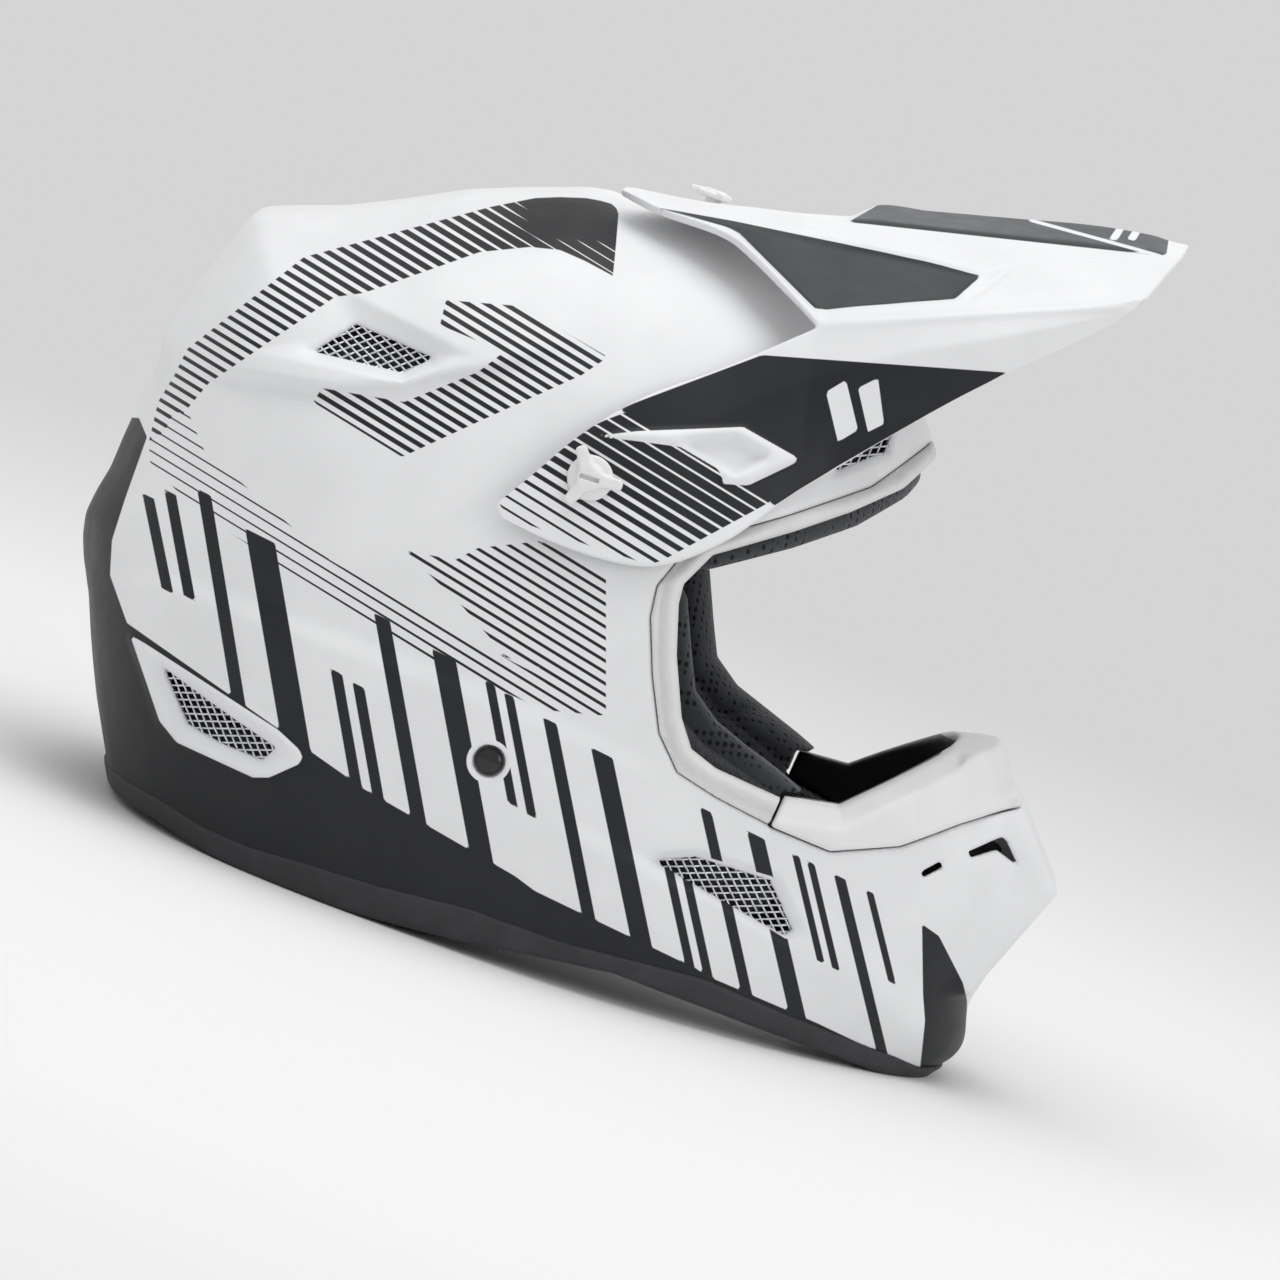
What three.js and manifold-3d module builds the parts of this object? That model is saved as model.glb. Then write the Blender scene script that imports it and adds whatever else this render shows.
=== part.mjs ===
// Motocross helmet, millimetres, +Z up.
// +X is the way the wearer faces and +Y is the wearer's left. The helmet stands on its chin and the
// rear of its rim on the plane z = 0, tipped back by the same angle at which it rests on a table.
// The part's origin is below the middle of its bounding box.
import * as THREE from "three";
import Module from "manifold-3d";

const wasm = await Module();
wasm.setup();

// ---------------------------------------------------------------- driving dimensions
const HALF_WIDTH = 124; // half the shell's greatest width
const FRONT_NARROWING = 30; // the shell's half width is this much less at the chin
const SECTION_POWER = 2.3; // exponent of the shell's cross sections
const SHELL_T = 4; // shell thickness
const LAYER_GAP = 0.6; // gap between shell and foam
const HEAD = { x: -33, z: 110.7, a: 101, b: 76, c: 104, tilt: 19.6 }; // head form: centre, half length, half width, half height, lean in degrees
const LINER_T = 11; // comfort liner thickness
const TRIM_PROUD = 1.3; // how far rubber trims stand out of the shell
const TRIM_DEPTH = 5.5; // how deep they reach inwards from the shell's outside
const VISOR_T = 2.6; // visor thickness
const PIVOT = { x: -14.3, z: 169.8, wing: 124.2, shell: 117.4 }; // side screws: the visor tilts about this line
const TOP_SCREW_X = -12.6;
const TILT_DEG = 4; // visor travel either way
const SCREW_R = 3; // thumb-screw shank radius
const KNOB_R = 8.2; // thumb-screw disc radius
const WING_R = 11.6; // reach of the thumb-screw's wings
const RIVET = { x: -14.7, z: 66.8, headR: 4.9, bevelR: 7.0 };
const WEB_W = 20; // strap webbing width
const WEB_T = 1.8; // strap webbing thickness

// ---------------------------------------------------------------- side outlines, as [x, z]
const CENTRE = [-59.2,116.8]; // centre of the polar outline
const OUTLINE = [[74.4,234.1],[60.8,245.3],[42.3,254.0],[17.3,259.6],[-10.4,262.0],[-37.3,262.0],[-48.5,263.0],[-56.3,261.4],[-76.8,254.1],[-97.1,246.1],[-116.6,235.7],[-136.4,226.0],[-153.6,219.9],[-163.1,216.2],[-166.2,213.9],[-168.8,208.0],[-172.6,196.7],[-176.5,185.7],[-180.2,174.3],[-182.6,165.4],[-183.3,159.7],[-182.2,155.5],[-181.3,148.4],[-183.0,137.8],[-184.0,129.3],[-184.8,120.5],[-185.5,109.0],[-187.6,99.3],[-188.7,90.4],[-187.1,82.4],[-183.8,73.9],[-178.1,64.3],[-172.6,50.7],[-168.9,42.2],[-162.7,28.9],[-155.7,15.8],[-148.5,2.7],[-137.7,-16.9],[-124.4,-39.5],[-103.7,-67.4],[-69.4,-98.2],[-22.4,-120.4],[30.1,-124.8],[80.3,-112.2],[124.8,-84.0],[155.7,-50.9],[168.3,-26.6],[171.6,-8.9],[174.2,10.8],[172.9,26.0],[175.1,40.4],[178.0,59.0],[177.2,78.2],[169.6,94.8],[158.7,110.2],[152.9,119.8],[146.1,136.6],[135.2,155.9],[122.8,174.5],[108.6,192.5],[96.7,209.4],[87.8,221.6]];
const GASKET_OUT = [[82.9,76.1],[62.2,79.9],[46.8,84.1],[36.5,95.0],[27.7,113.0],[20.4,131.5],[19.0,142.2],[22.4,152.7],[29.9,163.5],[53.7,179.6],[76.1,196.5],[86.1,210.2],[91.3,217.1]];
const GASKET_IN = [[83.6,86.3],[58.8,89.5],[48.9,93.2],[42.2,102.3],[33.5,121.8],[28.2,138.5],[27.5,145.4],[33.4,157.8],[55.9,173.5],[72.3,185.9],[87.2,199.1],[94.9,212.2]];
const NOSE = [[83.0,75.8],[83.8,86.7],[102.9,89.2],[112.2,97.7],[134.0,117.2],[136.0,124.1],[151.7,124.4],[157.6,117.6],[167.6,106.9],[145.9,94.5],[128.2,81.7],[105.6,73.3]];
const RIM_LOW = [[-118.4,2.6],[-94.4,-0.3],[-76.5,-1.1],[-59.3,-1.4],[-39.4,0.3],[-18.0,2.3],[-1.0,4.1],[18.7,7.0],[30.8,8.6],[49.6,10.4],[83.5,7.8],[131.1,3.0],[157.1,-1.7],[162.6,-2.5]];
const RIM_HIGH = [[-121.0,11.2],[-102.2,9.1],[-83.6,9.1],[-63.3,11.2],[-36.1,12.9],[-5.1,16.2],[28.4,15.7],[56.5,17.5],[80.0,18.1],[126.6,11.4],[152.8,7.4],[163.1,4.6],[167.9,5.1]];
const UPPER_VENT = [[-119.8,177.1],[-109.6,190.5],[-80.0,189.2],[-87.8,181.0]];
const REAR_VENT = [[-134.0,55.8],[-85.6,45.3],[-88.9,39.5],[-104.4,39.2],[-118.6,40.8]];
const CHIN_VENT = [[50.2,52.3],[62.3,57.6],[89.1,57.3],[102.0,43.2],[100.4,40.5]];
const BROW_VENT = [[62.7,198.4],[62.2,203.7],[70.1,217.0],[74.9,216.7],[76.1,209.5],[68.8,203.6]];
const SNOUT = [[130.4,80.9],[158.2,103.4],[163.7,108.2],[188.7,80.4],[186.9,77.0],[167.7,39.2],[151.5,55.9],[139.0,73.2]];
// visor feature lines, wearer's right side: rows run from the tail to the tip.
// top rows: side crease, outer ridge, inner ridge, centre line
const VISOR_TOP = [[[-41.5,-50.0,263.9],[-41.5,-49.0,265.8],[-39.3,-42.0,266.7],[-21.2,0.0,268.5]],[[-27.9,-58.0,261.9],[-27.5,-52.0,264.7],[-18.5,-43.0,269.6],[-2.9,0.0,271.1]],[[2.8,-70.0,260.9],[3.1,-56.0,268.5],[5.9,-42.0,274.9],[15.0,0.0,276.8]],[[40.0,-86.0,243.0],[38.3,-57.0,274.3],[36.6,-40.0,281.0],[35.8,0.0,283.0]],[[47.2,-86.0,246.3],[45.6,-57.0,275.8],[43.5,-40.0,282.7],[42.3,0.0,288.3]],[[66.1,-84.0,254.8],[67.7,-55.0,280.3],[64.9,-38.0,287.7],[62.5,0.0,293.6]],[[97.6,-79.0,268.9],[96.5,-52.0,286.9],[92.6,-36.0,294.2],[90.5,0.0,300.9]],[[123.2,-72.0,279.5],[121.6,-48.0,295.9],[120.3,-33.0,300.7],[121.9,0.0,309.0]],[[143.9,-60.0,290.5],[147.3,-42.0,303.5],[149.4,-30.0,309.5],[154.1,0.0,314.8]]];
// side rows: side crease, lower crease, lower edge; the first five are the wing beside the shell
const VISOR_SIDE = [[[-41.1,-128.4,151.3],[-40.7,-128.7,149.3],[-38.5,-128.8,147.2]],[[-32.6,-125.9,165.4],[-27.8,-127.1,157.1],[-23.5,-128.1,145.3]],[[-23.2,-121.3,181.6],[-14.5,-123.6,169.6],[-5.5,-126.2,144.9]],[[-8.1,-112.6,200.4],[1.0,-117.1,185.8],[14.8,-122.4,148.0]],[[13.6,-98.1,218.8],[22.5,-103.7,205.0],[34.5,-113.7,162.5]],[[40.0,-86.0,243.0],[44.2,-93.0,224.5],[53.6,-98.0,188.6]],[[47.2,-86.0,246.3],[51.4,-92.0,230.0],[60.0,-93.0,195.8]],[[66.1,-84.0,254.8],[67.2,-89.0,241.8],[74.0,-89.0,212.8]],[[97.6,-79.0,268.9],[96.0,-84.0,258.2],[95.9,-83.0,238.0]],[[123.2,-72.0,279.5],[118.8,-76.0,271.3],[117.6,-75.0,259.5]],[[143.9,-60.0,290.5],[141.7,-62.0,285.3],[137.9,-63.0,279.5]]];

// ---------------------------------------------------------------- colours
const WHITE = 0xf2f2f0, BLACK = 0x1c1d1e, CHARCOAL = 0x2a2c2e, FOAM = 0x3a3b3d, FABRIC = 0x232426, STEEL = 0xb9bcc0, MESH = 0xa8abad;

const group = new THREE.Group();
const SHIFT_X = -0.495; // puts the middle of the bounding box over the origin
const DEG = Math.PI / 180;

// ---------------------------------------------------------------- solids
function solid(verts, tris) {
  return new wasm.Manifold(new wasm.Mesh({ numProp: 3, vertProperties: new Float32Array(verts.flat()), triVerts: new Uint32Array(tris.flat()) }));
}

// A side outline [x, z] pulled across from y0 to y1. y0 and y1 may be functions of x and z.
function prism(outline, y0, y1) {
  let pts = outline.map(([x, z]) => new THREE.Vector2(x, z));
  if (THREE.ShapeUtils.isClockWise(pts)) pts = pts.reverse();
  const faces = THREE.ShapeUtils.triangulateShape(pts, []);
  const n = pts.length, lo = (p) => (typeof y0 === "function" ? y0(p.x, p.y) : y0), hi = (p) => (typeof y1 === "function" ? y1(p.x, p.y) : y1);
  const verts = [...pts.map((p) => [p.x, lo(p), p.y]), ...pts.map((p) => [p.x, hi(p), p.y])];
  const tris = [];
  for (const [a, b, c] of faces) tris.push([a, b, c], [n + a, n + c, n + b]);
  for (let i = 0; i < n; i++) { const j = (i + 1) % n; tris.push([i, n + i, n + j], [i, n + j, j]); }
  return solid(verts, tris);
}

// A section [y, z] pulled along x from x0 to x1.
function prismX(outline, x0, x1) {
  let pts = outline.map(([y, z]) => new THREE.Vector2(y, z));
  if (THREE.ShapeUtils.isClockWise(pts)) pts = pts.reverse();
  const faces = THREE.ShapeUtils.triangulateShape(pts, []);
  const n = pts.length;
  const verts = [...pts.map((p) => [x0, p.x, p.y]), ...pts.map((p) => [x1, p.x, p.y])];
  const tris = [];
  for (const [a, b, c] of faces) tris.push([a, c, b], [n + a, n + b, n + c]);
  for (let i = 0; i < n; i++) { const j = (i + 1) % n; tris.push([i, j, n + j], [i, n + j, n + i]); }
  return solid(verts, tris);
}

// A three.js geometry as a solid.
function fromGeometry(geometry, matrix = new THREE.Matrix4()) {
  const g = (geometry.index ? geometry.toNonIndexed() : geometry.clone()).applyMatrix4(matrix);
  const p = g.getAttribute("position"), seen = new Map(), verts = [], tris = [];
  const ids = [];
  for (let i = 0; i < p.count; i++) {
    const v = [p.getX(i), p.getY(i), p.getZ(i)], k = v.map((c) => Math.round(c * 2000)).join();
    if (!seen.has(k)) { seen.set(k, verts.length); verts.push(v); }
    ids.push(seen.get(k));
  }
  for (let i = 0; i < ids.length; i += 3) if (ids[i] !== ids[i + 1] && ids[i + 1] !== ids[i + 2] && ids[i] !== ids[i + 2]) tris.push([ids[i], ids[i + 1], ids[i + 2]]);
  return solid(verts, tris);
}

// A turned solid: profile [radius, height] about an axis through a point; height runs along the axis.
function turned(profile, at, axis, segments = 20) {
  const lathe = new THREE.LatheGeometry(profile.map(([r, h]) => new THREE.Vector2(r, h)), segments);
  const q = new THREE.Quaternion().setFromUnitVectors(new THREE.Vector3(0, 1, 0), new THREE.Vector3(...axis).normalize());
  return fromGeometry(lathe, new THREE.Matrix4().compose(new THREE.Vector3(...at), q, new THREE.Vector3(1, 1, 1)));
}
const rod = (r, h0, h1, at, axis, segments = 20) => turned([[0, h0], [r, h0], [r, h1], [0, h1]], at, axis, segments);

const box = (x0, x1, y0, y1, z0, z1) =>
  fromGeometry(new THREE.BoxGeometry(x1 - x0, y1 - y0, z1 - z0), new THREE.Matrix4().makeTranslation((x0 + x1) / 2, (y0 + y1) / 2, (z0 + z1) / 2));

// The same solid on the wearer's left.
const mirror = (s) => s.mirror([0, 1, 0]);

// ---------------------------------------------------------------- the shell's outer surface
const ROWS = 720;
const radius = new Float64Array(ROWS);
for (let i = 0; i < ROWS; i++) {
  const a = (i * 2 * Math.PI) / ROWS, dx = Math.cos(a), dz = Math.sin(a);
  for (let k = 0; k < OUTLINE.length; k++) {
    const [x1, z1] = OUTLINE[k], [x2, z2] = OUTLINE[(k + 1) % OUTLINE.length];
    const ax = x1 - CENTRE[0], az = z1 - CENTRE[1], bx = x2 - x1, bz = z2 - z1, det = dx * -bz + dz * bx;
    if (Math.abs(det) < 1e-9) continue;
    const r = (ax * -bz + az * bx) / det, u = (dx * az - dz * ax) / det;
    if (r > 0 && u >= 0 && u <= 1) radius[i] = Math.max(radius[i], r);
  }
}
function smoothed(table, sigmaDeg) {
  const s = (sigmaDeg / 360) * ROWS, m = Math.ceil(3 * s), out = new Float64Array(ROWS);
  for (let i = 0; i < ROWS; i++) {
    let sum = 0, w = 0;
    for (let k = -m; k <= m; k++) { const g = Math.exp((-k * k) / (2 * s * s)); sum += g * table[(i + k + ROWS) % ROWS]; w += g; }
    out[i] = sum / w;
  }
  return out;
}
const SHARP = smoothed(radius, 0.6), SOFT = smoothed(radius, 9);
function look(table, phi) {
  let f = (((phi / (2 * Math.PI)) % 1) + 1) % 1 * ROWS;
  const i = Math.floor(f) % ROWS;
  f -= Math.floor(f);
  return table[i] * (1 - f) + table[(i + 1) % ROWS] * f;
}
const step = (a, b, v) => { const t = Math.min(1, Math.max(0, (v - a) / (b - a))); return t * t * (3 - 2 * t); };
const widthAt = (x) => HALF_WIDTH - FRONT_NARROWING * step(10 + 15.8, 200 + 15.8, x);
// Point of the surface at polar angle phi and section parameter th: 0 is the middle of a side, pi/2 the centre line.
function surfacePoint(phi, th) {
  const side = th > Math.PI / 2 ? 1 : -1, q = side < 0 ? th : Math.PI - th;
  const t = Math.pow(Math.sin(q), 2 / SECTION_POWER), soft = look(SOFT, phi), sharp = look(SHARP, phi);
  let rho = t * soft;
  for (let i = 0; i < 6; i++) { const w = step(0.55, 0.95, rho / soft); rho = t * (soft * (1 - w) + sharp * w); }
  const x = CENTRE[0] + rho * Math.cos(phi), z = CENTRE[1] + rho * Math.sin(phi);
  return [x, side * widthAt(x) * Math.pow(Math.max(0, Math.cos(q)), 2 / SECTION_POWER), z];
}
const NPHI = 44, NTH = 12;
const ringAngles = [];
for (let j = 1; j < NTH; j++) ringAngles.push((j * Math.PI) / NTH);
const basePoints = [], baseNormals = [];
for (const th of ringAngles) for (let i = 0; i < NPHI; i++) {
  const phi = (i * 2 * Math.PI) / NPHI, e = 0.02;
  const v = (a) => new THREE.Vector3(...a);
  const du = v(surfacePoint(phi + e, th)).sub(v(surfacePoint(phi - e, th)));
  const dv = v(surfacePoint(phi, Math.min(Math.PI - 1e-3, th + e))).sub(v(surfacePoint(phi, Math.max(1e-3, th - e))));
  const n = du.cross(dv).normalize();
  const p = v(surfacePoint(phi, th));
  if (n.dot(p.clone().sub(new THREE.Vector3(CENTRE[0], 0, CENTRE[1]))) < 0) n.negate();
  basePoints.push(p);
  baseNormals.push(n);
}
// The closed surface moved inwards by depth, or, with shrink, drawn towards its centre.
function layer(depth, shrink = 1) {
  const verts = basePoints.map((p, i) => {
    const q = p.clone().addScaledVector(baseNormals[i], -depth);
    return [CENTRE[0] + (q.x - CENTRE[0]) * shrink, q.y * shrink, CENTRE[1] + (q.z - CENTRE[1]) * shrink];
  });
  const cx = CENTRE[0], cz = CENTRE[1], w = widthAt(cx);
  const a = verts.push([cx, -(w - depth) * shrink, cz]) - 1, b = verts.push([cx, (w - depth) * shrink, cz]) - 1;
  const tris = [], rings = ringAngles.length;
  for (let i = 0; i < NPHI; i++) {
    const j = (i + 1) % NPHI;
    tris.push([a, i, j]);
    for (let r = 0; r < rings - 1; r++) {
      const p = r * NPHI + i, q = r * NPHI + j, s = p + NPHI, t = q + NPHI;
      tris.push([p, s, q], [q, s, t]);
    }
    tris.push([b, (rings - 1) * NPHI + j, (rings - 1) * NPHI + i]);
  }
  const m = solid(verts, tris);
  return m.volume() < 0 ? solid(verts, tris.map(([p, q, r]) => [p, r, q])) : m;
}

// ---------------------------------------------------------------- the head form, grown by k
function headForm(k, wide = 28, high = 16) {
  const m = new THREE.Matrix4()
    .makeTranslation(HEAD.x, 0, HEAD.z)
    .multiply(new THREE.Matrix4().makeRotationY(-HEAD.tilt * DEG))
    .multiply(new THREE.Matrix4().makeScale(HEAD.a + k, HEAD.b + k, HEAD.c + k));
  return fromGeometry(new THREE.SphereGeometry(1, wide, high), m);
}

// ---------------------------------------------------------------- outlines of the cuts
const grow = (outline, dx, dz) => outline.map(([x, z]) => [x + dx, z + dz]);
// everything under the rim line raised by h
const below = (line, h, back = line[0][1]) => [[-400, -400], [400, -400], [400, line.at(-1)[1] - 4 + h], ...grow(line, 0, h).reverse(), [-145, back + h - 1], [-400, back + h - 1]];
const above = (line, h, back = line[0][1]) => [[-400, 500], [400, 500], [400, line.at(-1)[1] - 4 + h], ...grow(line, 0, h).reverse(), [-145, back + h - 1], [-400, back + h - 1]];
// the eye opening inside a line of the gasket
const ahead = (line) => [...line, [108, 240], [230, 330], [400, 200], [400, 110], [178, 98], [150, 92]];
const EYE = ahead(GASKET_OUT);
const GASKET = [...GASKET_OUT, ...[...GASKET_IN].reverse()];
function offset(outline, d) {
  // outline moved outwards by d, corner by corner
  const n = outline.length, area = THREE.ShapeUtils.area(outline.map(([x, z]) => new THREE.Vector2(x, z))), s = Math.sign(area);
  return outline.map((p, i) => {
    const a = outline[(i + n - 1) % n], b = outline[(i + 1) % n];
    const n1 = [(p[1] - a[1]) * s, -(p[0] - a[0]) * s], n2 = [(b[1] - p[1]) * s, -(b[0] - p[0]) * s];
    const l1 = Math.hypot(...n1), l2 = Math.hypot(...n2);
    const m = [n1[0] / l1 + n2[0] / l2, n1[1] / l1 + n2[1] / l2], k = (d * 2) / Math.max(0.6, m[0] * m[0] + m[1] * m[1]);
    return [p[0] + m[0] * k, p[1] + m[1] * k];
  });
}
const WIDE = 200;
const RIGHT = (outline) => prism(outline, -WIDE, -20), BOTH = (outline) => prism(outline, -WIDE, WIDE);
const pair = (s) => s.add(mirror(s));

const outside = layer(0), inside = layer(SHELL_T);

// ---------------------------------------------------------------- snout on the chin bar
const snoutWide = (extra) => (x) => THREE.MathUtils.lerp(52, 27, Math.min(1, Math.max(0, (x - 128) / 58))) + extra;
const snoutOuter = prism([[118, 70], ...SNOUT.slice(0, 6), [138, 50]], (x) => -snoutWide(0)(x), (x) => snoutWide(0)(x));
const snoutInner = prism([[100, 74], ...offset(SNOUT.slice(0, 6), -3.4), [120, 52]], (x) => -snoutWide(-3.4)(x), (x) => snoutWide(-3.4)(x));
const mouthAxis = new THREE.Vector3(37.8, 0, -19.2).normalize(), mouthAlong = new THREE.Vector3(19.2, 0, 37.8).normalize();
const mouthMid = new THREE.Vector3(177.2, 0, 58.2);
function mouthBlock(halfAlong, halfWide, out0, out1) {
  const c = (u, w) => mouthMid.clone().addScaledVector(mouthAlong, u).addScaledVector(mouthAxis, w);
  const p = [c(-halfAlong, out0), c(halfAlong, out0), c(halfAlong, out1), c(-halfAlong, out1)].map((v) => [v.x, v.z]);
  return prism(p, -halfWide, halfWide);
}

// ---------------------------------------------------------------- shell
const SHELL_RIM = 2.8; // the shell ends this far above the trim's lower edge
const seat = (r, h0, h1) => rod(r, h0, h1, [PIVOT.x, 0, PIVOT.z], [0, -1, 0], 24);
const topSeat = (r, h0, h1) => rod(r, h0, h1, [TOP_SCREW_X, 0, 0], [0, 0, 1], 24);
let shell = outside.add(snoutOuter);
shell = shell.add(pair(seat(9.2, 105, 119.2))).add(topSeat(9.5, 250, 263.8));
shell = shell.subtract(inside);
shell = shell.subtract(snoutInner);
shell = shell.subtract(BOTH(below(RIM_LOW, SHELL_RIM))).subtract(BOTH(EYE)).subtract(BOTH(offset(NOSE, 0.3)));
shell = shell.subtract(mouthBlock(15.5, 21, -9, 30));
for (const v of [UPPER_VENT, REAR_VENT, CHIN_VENT, BROW_VENT]) shell = shell.subtract(pair(RIGHT(v)));
shell = shell.subtract(pair(seat(5.3, 90, 130))).subtract(topSeat(5.3, 240, 280));
const rivetBore = rod(3.4, 90, 140, [RIVET.x, 0, RIVET.z], [0, -1, 0]).add(turned([[0, 120.2], [5.4, 120.2], [RIVET.bevelR, 122.4], [RIVET.bevelR, 140], [0, 140]], [RIVET.x, 0, RIVET.z], [0, -1, 0], 24));
shell = shell.subtract(pair(rivetBore));

// ---------------------------------------------------------------- rubber trims
const proud = layer(-TRIM_PROUD), deep = layer(TRIM_DEPTH);
let baseTrim = proud.subtract(deep).intersect(BOTH(above(RIM_LOW, 0))).intersect(BOTH(below(RIM_HIGH, 0)));
baseTrim = baseTrim.subtract(layer(-0.3).subtract(layer(SHELL_T + 0.3)).intersect(BOTH(above(RIM_LOW, SHELL_RIM - 0.3))));
baseTrim = baseTrim.intersect(box(-300, 300, -200, 200, 0, 100));
let gasket = layer(-1).subtract(deep).intersect(BOTH(offset(GASKET, -0.3)));
gasket = gasket.subtract(BOTH(offset(NOSE, 0.3)));
let noseGuard = layer(-2.2).add(snoutOuter.subtract(box(-300, 400, -200, 200, -100, 84))).subtract(layer(17)).intersect(BOTH(offset(NOSE, -0.3)));

// ---------------------------------------------------------------- foam and padding
const foamSkin = layer(SHELL_T + LAYER_GAP + 2.6);
const crownArea = [[-230, 48], [-92, 48], [-74, 66], [-60, 100], [-20, 122], [24, 152], [60, 182], [92, 214], [140, 300], [-230, 400]];
let crown = foamSkin.intersect(BOTH(crownArea)).subtract(headForm(LINER_T + LAYER_GAP)).subtract(BOTH(offset(EYE, 1.5)));
crown = crown.subtract(pair(seat(11, 95, 130))).subtract(topSeat(11, 245, 280));
crown = crown.subtract(box(-100, 60, -70, 70, 20, 150));
const linerArea = [[-230, 56], [-88, 56], [-70, 74], [-54, 106], [-16, 128], [22, 152], [58, 180], [84, 206], [140, 300], [-230, 400]];
const liner = headForm(LINER_T).subtract(headForm(0)).intersect(BOTH(linerArea));
const chinArea = [[106, 10], [112, 66], [118, 84], [140, 110], [148, 108], [152, 60], [200, 40], [200, 6]];
let chinFoam = foamSkin.subtract(layer(SHELL_T, 0.86)).intersect(BOTH([[112, 12], [117, 60], [121, 76], [131, 76], [200, 100], [200, 14]]));
chinFoam = chinFoam.subtract(BOTH(offset(NOSE, 1.2))).subtract(BOTH(ahead(GASKET_IN))).subtract(box(60, 300, -24, 24, 42, 120)).subtract(BOTH(below(RIM_HIGH, 2)));

// cheek: a foam block against the shell and a soft pad on its inner face; both leave a channel for the strap
const cheekArea = [[-56, 22], [-56, 98], [-24, 117], [0, 133], [26, 147.5], [32, 141], [39.5, 124], [45.5, 111.5], [55, 104.8], [82, 95.5], [101, 88], [103, 76], [96, 54], [78, 26], [40, 24], [8, 22]];
const foamArea = [[-56, 24], [-56, 97], [-24, 113], [0, 129], [18, 140], [27, 128], [33, 112], [41, 101], [52, 95], [80, 87], [92, 82], [94, 74], [88, 54], [74, 28], [40, 27], [8, 24]];
const channel = foamSkin.subtract(layer(SHELL_T + LAYER_GAP + 16)).intersect(BOTH([[-42, 0], [-42, 82], [12, 82], [12, 0]]));
const cheekFoam = foamSkin.subtract(channel).intersect(prism(foamArea, -WIDE, -88.3)).subtract(headForm(LINER_T + 0.6)).subtract(BOTH(offset(NOSE, 0.7)));
const cheekPad = foamSkin.subtract(layer(SHELL_T + LAYER_GAP + 5)).add(foamSkin).intersect(prism(cheekArea, -88, (x) => -THREE.MathUtils.lerp(64, 60, Math.min(1, Math.max(0, (x + 50) / 140))))).subtract(headForm(0)).subtract(BOTH(offset(NOSE, 0.7)));
const neckArea = [[-190, 6], [-62, 4.2], [-59, 24], [-60, 42], [-76, 46], [-190, 46]];
const neckRoll = layer(SHELL_T + LAYER_GAP + 1.2).subtract(layer(SHELL_T, 0.8)).intersect(BOTH(neckArea)).subtract(headForm(3));

// ---------------------------------------------------------------- vent grilles set in the shell's openings
const grille = (outline) => layer(1.2).subtract(layer(2.8)).intersect(RIGHT(offset(outline, -0.4)));
const mouthGrille = mouthBlock(15, 20.5, -8.6, -6.6);

// ---------------------------------------------------------------- visor
function thicken(verts, tris, t) {
  const normals = verts.map(() => new THREE.Vector3());
  const V = verts.map((v) => new THREE.Vector3(...v));
  for (const [a, b, c] of tris) {
    const n = V[b].clone().sub(V[a]).cross(V[c].clone().sub(V[a]));
    for (const i of [a, b, c]) normals[i].add(n);
  }
  normals.forEach((n) => n.normalize());
  const n = verts.length, all = [...verts, ...V.map((v, i) => v.clone().addScaledVector(normals[i], -t).toArray())];
  const out = [...tris, ...tris.map(([a, b, c]) => [n + a, n + c, n + b])];
  const edges = new Set(tris.flatMap(([a, b, c]) => [a + "," + b, b + "," + c, c + "," + a]));
  for (const e of edges) { const [a, b] = e.split(",").map(Number); if (!edges.has(b + "," + a)) out.push([b, a, n + a], [b, n + a, n + b]); }
  return solid(all, out);
}
const visorVerts = [], visorTris = [], visorSeen = new Map();
function vid(p) {
  const k = p.map((c) => c.toFixed(2)).join();
  if (!visorSeen.has(k)) { visorSeen.set(k, visorVerts.length); visorVerts.push(p); }
  return visorSeen.get(k);
}
// quads between two rows; facing away from the wearer's head
function strip(rowA, rowB, flip) {
  for (let i = 0; i < rowA.length - 1; i++) for (const side of [-1, 1]) {
    const m = (p) => vid([p[0], side < 0 ? p[1] : -p[1], p[2]]);
    const a = m(rowA[i]), b = m(rowA[i + 1]), c = m(rowB[i + 1]), d = m(rowB[i]);
    const turn = (side < 0) !== flip;
    for (const t of [[a, b, c], [a, c, d]]) if (new Set(t).size === 3) visorTris.push(turn ? t : [t[0], t[2], t[1]]);
  }
}
const mid = (p, q) => p.map((v, i) => (v + q[i]) / 2);
for (let r = 0; r < VISOR_TOP.length - 1; r++) strip(VISOR_TOP[r], VISOR_TOP[r + 1], true);
for (let r = 0; r < VISOR_SIDE.length - 1; r++) strip([...VISOR_SIDE[r]].reverse(), [...VISOR_SIDE[r + 1]].reverse(), true);
let visor = thicken(visorVerts, visorTris, VISOR_T);
if (visor.volume() < 0) visor = thicken(visorVerts, visorTris.map(([a, b, c]) => [a, c, b]), VISOR_T);
visor = visor.add(pair(seat(11.5, 119.6, PIVOT.wing + 0.4)));
visor = visor.add(box(TOP_SCREW_X - 12, TOP_SCREW_X + 12, -9, 9, 267.4, 270)); 
visor = visor.subtract(pair(seat(9.8, 100, 121.1))).subtract(pair(seat(SCREW_R + 0.5, 100, 140))).subtract(pair(seat(12.6, PIVOT.wing + 0.4, 140)));
visor = visor.subtract(box(TOP_SCREW_X - 40, TOP_SCREW_X + 10.4, -SCREW_R - 0.5, SCREW_R + 0.5, 255, 285)).subtract(box(TOP_SCREW_X - 18, TOP_SCREW_X + 16, -11, 11, 270, 279));

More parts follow.
